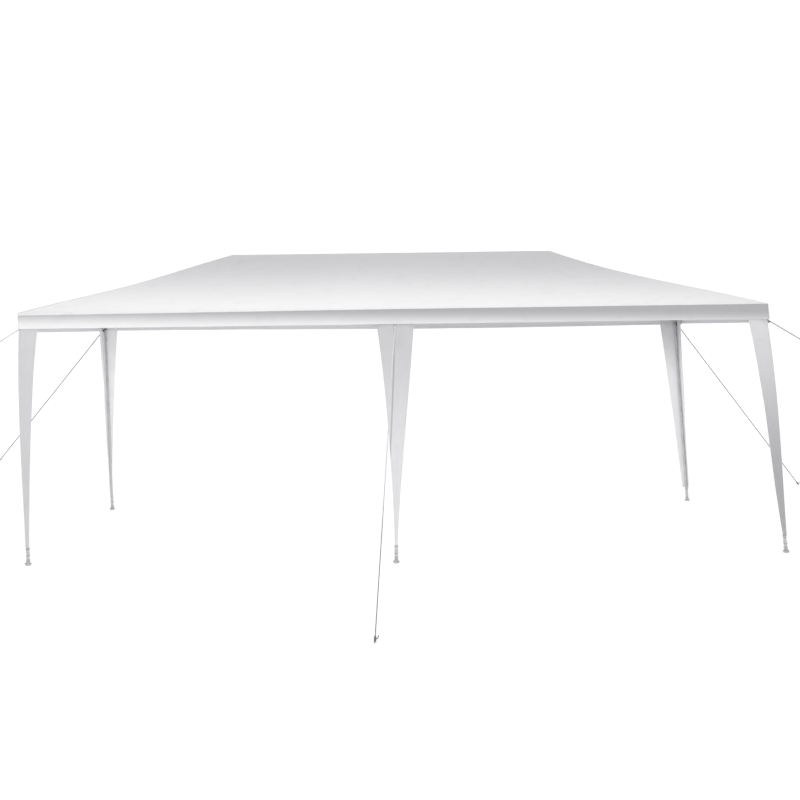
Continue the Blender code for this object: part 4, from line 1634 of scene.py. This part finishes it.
# %% Ground stakes
def smooth_chain(points, per_span):
    """A Catmull-Rom curve through points, with a few places on each span."""
    padded = [points[0] * 2 - points[1], *points, points[-1] * 2 - points[-2]]
    places = []
    for a, b, c, d in zip(padded, padded[1:], padded[2:], padded[3:]):
        for step in range(per_span):
            t = step / per_span
            curve = b * 2 + (c - a) * t + (a * 2 - b * 5 + c * 4 - d) * t**2
            curve += (b * 3 - a - c * 3 + d) * t**3
            places.append(curve / 2)
    places.append(points[-1].copy())
    return places


def make_stake(name):
    places = smooth_chain(stake_points(name), 5)
    places.insert(1, places[0] + Vector((0.0, 0.0, 0.0005)))
    girths = [STAKE_RADIUS] * len(places)
    tip = (places[-1] - places[-2]).normalized()
    end = places[-1]
    rounding = [(0.0008, 0.94), (0.0016, 0.78), (0.0022, 0.50), (0.0025, 0.15)]
    for reach, share in rounding:
        places.append(end + tip * (reach - 0.0022))
        girths.append(STAKE_RADIUS * share)
    places[len(places) - len(rounding) - 1] = end - tip * 0.0022
    wire = sweep(name + "_stake_wire", places, girths, 20, STAKE_STEEL)
    return fit_piece(wire, "stake_steel", name + "_stake")


for leg in LEGS:
    make_stake(leg)

# %% [markdown]
# Below its hem the drape is held to the pole by a lacing: a cord that is wound down to the foot
# one way and back up the other, so that its turns cross in a row of diamonds. Each way is a
# helix, and where they cross one passes over the other, so its radius is a cord wider there.

# %% Lacing at the feet
LACE_RADIUS = 0.0026
LACE_PITCH = 0.054
LACE_TOP = 0.140
LACE_LOW = 0.036


def lace_points(name, hand):
    axis_low = leg_point(name, LACE_LOW)
    axis_high = leg_point(name, LACE_TOP)
    turns = (LACE_TOP - LACE_LOW) / LACE_PITCH
    count = int(turns * 28)
    points = []
    for step in range(count + 1):
        share = step / count
        angle = 2 * math.pi * turns * share * hand + math.pi / 2
        crossing = math.cos(2 * (2 * math.pi * turns * share)) ** 4
        over = hand * (1 if int(turns * share * 2 + 0.25) % 2 else -1)
        radius = TUBE_RADIUS + LACE_RADIUS * (1.15 + max(0.0, over) * 1.7 * crossing)
        centre = axis_low.lerp(axis_high, share)
        points.append(centre + Vector((math.cos(angle), math.sin(angle), 0.0)) * radius)
    return points


def make_lacing(name):
    parts = []
    for hand in (1, -1):
        points = lace_points(name, hand)
        parts.append(twist(f"{name}_lacing", points, LACE_RADIUS, 0.010, 0.0018, LACE_CORD))
    axis = (leg_head(name) - leg_foot(name)).normalized()
    for height in (LACE_LOW + 0.001, LACE_TOP - 0.003):
        centre = leg_point(name, height)
        ring = ring_points(centre, axis, TUBE_RADIUS + 1.3 * LACE_RADIUS, Vector((-1.0, -1.0, 0.0)), 28)
        parts.append(twist("lace_ring", ring, LACE_RADIUS, 0.010, 0.002, LACE_CORD))
    return fit_piece(join(parts), "guy_rope")


for leg in LEGS:
    make_lacing(leg)

# %% [markdown]
# Seams are what tell cloth from sheet metal. A run of stitches is one small capsule repeated at
# an even spacing along a line, turned to follow it, and Geometry Nodes does just that. The lines
# are points on the cloth's own formulas, lifted by half its thickness: along the eave, the hips
# and the ridge, along the hem of the valance, and down the edges of each drape.

# %% Tree that sews a seam
def make_stitch_tree():
    sizes = {
        "Spacing": ("Float", 0.008),
        "Stitch Length": ("Float", 0.0052),
        "Thread Radius": ("Float", 0.00045),
        "Finish": ("Material", None),
    }
    tree, given, keys = new_tree("sew_seam", sizes)
    line = add_node(tree, "GeometryNodeMeshToCurve", {"Mesh": given.outputs["Geometry"]})
    holes = add_node(
        tree,
        "GeometryNodeCurveToPoints",
        {"Curve": line.outputs[0], "Length": given.outputs["Spacing"]},
        mode="LENGTH",
    )
    aim = add_node(tree, "FunctionNodeAlignRotationToVector", {"Vector": holes.outputs["Tangent"]}, axis="Z")
    stitch = add_node(
        tree,
        "GeometryNodeMeshCylinder",
        {
            "Vertices": 6,
            "Radius": given.outputs["Thread Radius"],
            "Depth": given.outputs["Stitch Length"],
        },
    )
    sewn = add_node(
        tree,
        "GeometryNodeInstanceOnPoints",
        {"Points": holes.outputs["Points"], "Instance": stitch.outputs["Mesh"], "Rotation": aim.outputs[0]},
    )
    end_tree(tree, sewn.outputs[0], given.outputs["Finish"])
    return tree, keys


STITCH_TREE, STITCH_KEYS = make_stitch_tree()


def chains_mesh(name, chains):
    """Several lines of points as one mesh of edges."""
    places = []
    edges = []
    for chain in chains:
        first = len(places)
        places += chain
        edges += [(first + i, first + i + 1) for i in range(len(chain) - 1)]
    mesh = bpy.data.meshes.new(name)
    mesh.from_pydata(places, edges, [])
    return mesh


def sew(name, chains, slot, spacing=0.008):
    seam = new_object(name, chains_mesh(name, chains))
    sizes = {"Spacing": spacing, "Stitch Length": spacing * 0.65, "Thread Radius": 0.00045, "Finish": THREAD}
    run_tree(seam, STITCH_TREE, STITCH_KEYS, sizes)
    return fit_piece(seam, slot)


def hip_chain(sign_x, sign_y, aside, lift):
    """A line beside a hip: aside is how far it lies from the crease, in the plan."""
    points = []
    for step in range(101):
        share = 0.004 + 0.990 * step / 100
        x = sign_x * (hip_x(share))
        y = sign_y * HALF_WIDTH * (1 - share)
        towards = Vector((-(HALF_LENGTH - RIDGE_HALF) * sign_x, -HALF_WIDTH * sign_y, 0.0)).normalized()
        beside = Vector((-towards.y, towards.x, 0.0)) * aside
        points.append(cover_point(x + beside.x, y + beside.y, lift))
    return points


SEAM_LIFT = CLOTH_THICKNESS / 2 + 0.0002
hip_seams = []
for sign_x in (-1, 1):
    for sign_y in (-1, 1):
        for aside in (-0.007, 0.007):
            hip_seams.append(hip_chain(sign_x, sign_y, aside, SEAM_LIFT))
ridge_seams = []
for aside in (-0.007, 0.007):
    steps = [RIDGE_HALF * (step / 60 * 2 - 1) for step in range(61)]
    ridge_seams.append([cover_point(x, aside, SEAM_LIFT) for x in steps])
sew("hip_and_ridge_seams", hip_seams + ridge_seams, "cover_cloth")

WELT_RADIUS = 0.0024
WELT_SHARE = 0.45


def hip_welt(name, sign_x, sign_y):
    """The rolled edge that stands up on a hip's seam by the corner and dies out further up."""
    points = hip_chain(sign_x, sign_y, 0.0, CLOTH_THICKNESS / 2)
    points = points[: int(len(points) * WELT_SHARE)]
    girths = [WELT_RADIUS * (1 - 0.8 * step / (len(points) - 1)) for step in range(len(points))]
    return sweep(name, points, girths, 10, WELT_SHADE)


# The two welts on the left hips are a dark piece put where a shadow line falls: painted shade.
welts = [hip_welt("left_hip_welt", -1, -1), hip_welt("rear_welt", -1, 1)]
fit_piece(join(welts), "cover_cloth")


def eave_chain(inset, lift):
    """A line round the eave, a little inside it."""
    corners = [(-1, -1), (1, -1), (1, 1), (-1, 1), (-1, -1)]
    points = []
    for (x0, y0), (x1, y1) in zip(corners, corners[1:]):
        for step in range(90):
            share = step / 90
            x = (x0 + (x1 - x0) * share) * (HALF_LENGTH - inset)
            y = (y0 + (y1 - y0) * share) * (HALF_WIDTH - inset)
            points.append(cover_point(x, y, lift))
    points.append(points[0].copy())
    return points


sew("eave_seams", [eave_chain(0.006, SEAM_LIFT), eave_chain(0.014, SEAM_LIFT)], "cover_cloth")

# %% Sew the valance and the drapes
def valance_chain(share, lift):
    inset = CLOTH_THICKNESS / 2 + LAP_STAND / 2
    points = []
    way = 0.0
    path = band_path(HALF_LENGTH - inset, HALF_WIDTH - inset, VALANCE_CORNER, VALANCE_STEP)
    previous = path[0][0]
    for point, outward in path + path[:1]:
        way += (point - previous).length
        previous = point
        place = point + outward * (valance_offset(point, share, way) + lift)
        place.z = valance_height(point, share, way)
        points.append(place)
    return points


hem_share = 1 - (HEM_DEPTH - 0.003) / (VALANCE_TOP - VALANCE_BOTTOM)
sew("valance_hem_seam", [valance_chain(hem_share, HEM_THICKNESS / 2 + 0.0001)], "valance_cloth")


def drape_seams(name):
    """Both side hems and the bottom hem, on the outer face."""
    lift = DRAPE_HEM_THICKNESS / 2 + 0.0001
    chains = []
    low = DRAPE_BOTTOM + 0.004
    for sign in (-1, 1):
        chain = []
        for step in range(121):
            height = low + (DRAPE_TOP - 0.01 - low) * step / 120
            reach = drape_reach(name, height)
            inner = reach - min(DRAPE_HEM, reach * 0.3) + 0.002
            chain.append(drape_point(name, sign * inner, height, lift))
        chains.append(chain)
    height = DRAPE_BOTTOM + DRAPE_HEM - 0.003
    reach = drape_reach(name, height) - 0.004
    chains.append([drape_point(name, reach * (step / 24 - 1), height, lift) for step in range(49)])
    return chains


for leg in LEGS:
    sew(leg + "_drape_seams", drape_seams(leg), "drape_cloth")

# %% [markdown]
# The eyelets are pressed steel rings, one where each rope goes through its drape. The ring is a
# turned outline, thick enough to hold the cloth between its two lips.

# %% Eyelets
EYELET_OUTLINE = (
    (0.0056, 0.0004),
    (0.0062, 0.0016),
    (0.0074, 0.0021),
    (0.0090, 0.0017),
    (0.0098, 0.0009),
    (0.0098, -0.0009),
    (0.0090, -0.0017),
    (0.0074, -0.0021),
    (0.0062, -0.0016),
    (0.0056, -0.0004),
    (0.0056, 0.0004),
)
for leg in LEGS:
    level = rope_direction(leg)
    level.z = 0.0
    eyelet = turned(leg + "_eyelet", EYELET_OUTLINE, eyelet_place(leg), level.normalized(), 28, JOINT_STEEL)
    fit_piece(eyelet, "connector_steel")

# %% [markdown]
# Inside, the cover is held to the frame by short straps of webbing that are sewn to the eave and
# go round the eave tube. One strap is a flat band bent into a loop, and Geometry Nodes sets a
# copy on each point of a line of marks along the eave, turned to face outwards.

# %% Tie straps
STRAP_WIDTH = 0.020
STRAP_THICKNESS = 0.0012
STRAP_SPACING = 0.72
STRAP_LOOP = TUBE_RADIUS + 0.0010


def strap_mesh():
    """A loop round a tube that runs along X, with a tail up to the cloth, outside towards -Y."""
    outline = []
    for step in range(25):
        angle = math.radians(120 + 300 * step / 24)
        outline.append((STRAP_LOOP * math.cos(angle), STRAP_LOOP * math.sin(angle)))
    tail_top = (-0.016, 0.0145)
    outline = [tail_top, *outline]
    places = []
    for y, z in outline:
        for side in (-1, 1):
            places.append((side * STRAP_WIDTH / 2, y, z))
    faces = [(2 * i, 2 * i + 1, 2 * i + 3, 2 * i + 2) for i in range(len(outline) - 1)]
    mesh = mesh_with_cloth_map("strap", places, [(p[0], p[1] + p[2]) for p in places], faces)
    strap = new_object("strap_pattern", mesh, STRAP_CLOTH)
    thicken(strap, STRAP_THICKNESS)
    settle(strap)
    smooth(strap.data, 40)
    return strap


def make_strap_tree(strap):
    sizes = {"Strap": ("Object", None), "Finish": ("Material", None)}
    tree, given, keys = new_tree("set_straps", sizes)
    pattern = add_node(tree, "GeometryNodeObjectInfo", {"Object": given.outputs["Strap"]})
    turn = add_node(tree, "GeometryNodeInputNamedAttribute", {"Name": "turn"}, data_type="FLOAT")
    spin = add_node(tree, "ShaderNodeCombineXYZ", {"Z": turn.outputs[0]})
    marks = add_node(tree, "GeometryNodeMeshToPoints", {"Mesh": given.outputs["Geometry"]})
    placed = add_node(
        tree,
        "GeometryNodeInstanceOnPoints",
        {
            "Points": marks.outputs[0],
            "Instance": pattern.outputs["Geometry"],
            "Rotation": spin.outputs[0],
        },
    )
    end_tree(tree, placed.outputs[0], given.outputs["Finish"])
    return tree, keys


def strap_marks():
    """Where the straps sit on the eave tubes, and how each is turned about Z."""
    marks = []
    sides = ((0.0, -1, LEG_X), (math.pi, 1, LEG_X))
    for turn, sign, half in sides:
        count = int(2 * half / STRAP_SPACING)
        for step in range(count):
            x = -half + 2 * half * (step + 0.5) / count
            marks.append((Vector((x, sign * LEG_Y, FRAME_HEIGHT)), turn))
    for turn, sign in ((-math.pi / 2, -1), (math.pi / 2, 1)):
        count = int(2 * LEG_Y / STRAP_SPACING)
        for step in range(count):
            y = -LEG_Y + 2 * LEG_Y * (step + 0.5) / count
            marks.append((Vector((sign * LEG_X, y, FRAME_HEIGHT)), turn))
    return marks


strap = strap_mesh()
STRAP_TREE, STRAP_KEYS = make_strap_tree(strap)
marks = strap_marks()
straps_mesh = bpy.data.meshes.new("eave_straps")
straps_mesh.from_pydata([place for place, _ in marks], [], [])
turns = straps_mesh.attributes.new("turn", "FLOAT", "POINT")
for item, (_, turn) in zip(turns.data, marks):
    item.value = turn
straps = new_object("eave_straps", straps_mesh)
run_tree(straps, STRAP_TREE, STRAP_KEYS, {"Strap": strap, "Finish": STRAP_CLOTH})
bpy.data.objects.remove(strap, do_unlink=True)
fit_piece(straps, "drape_cloth")
print("straps:", len(marks))
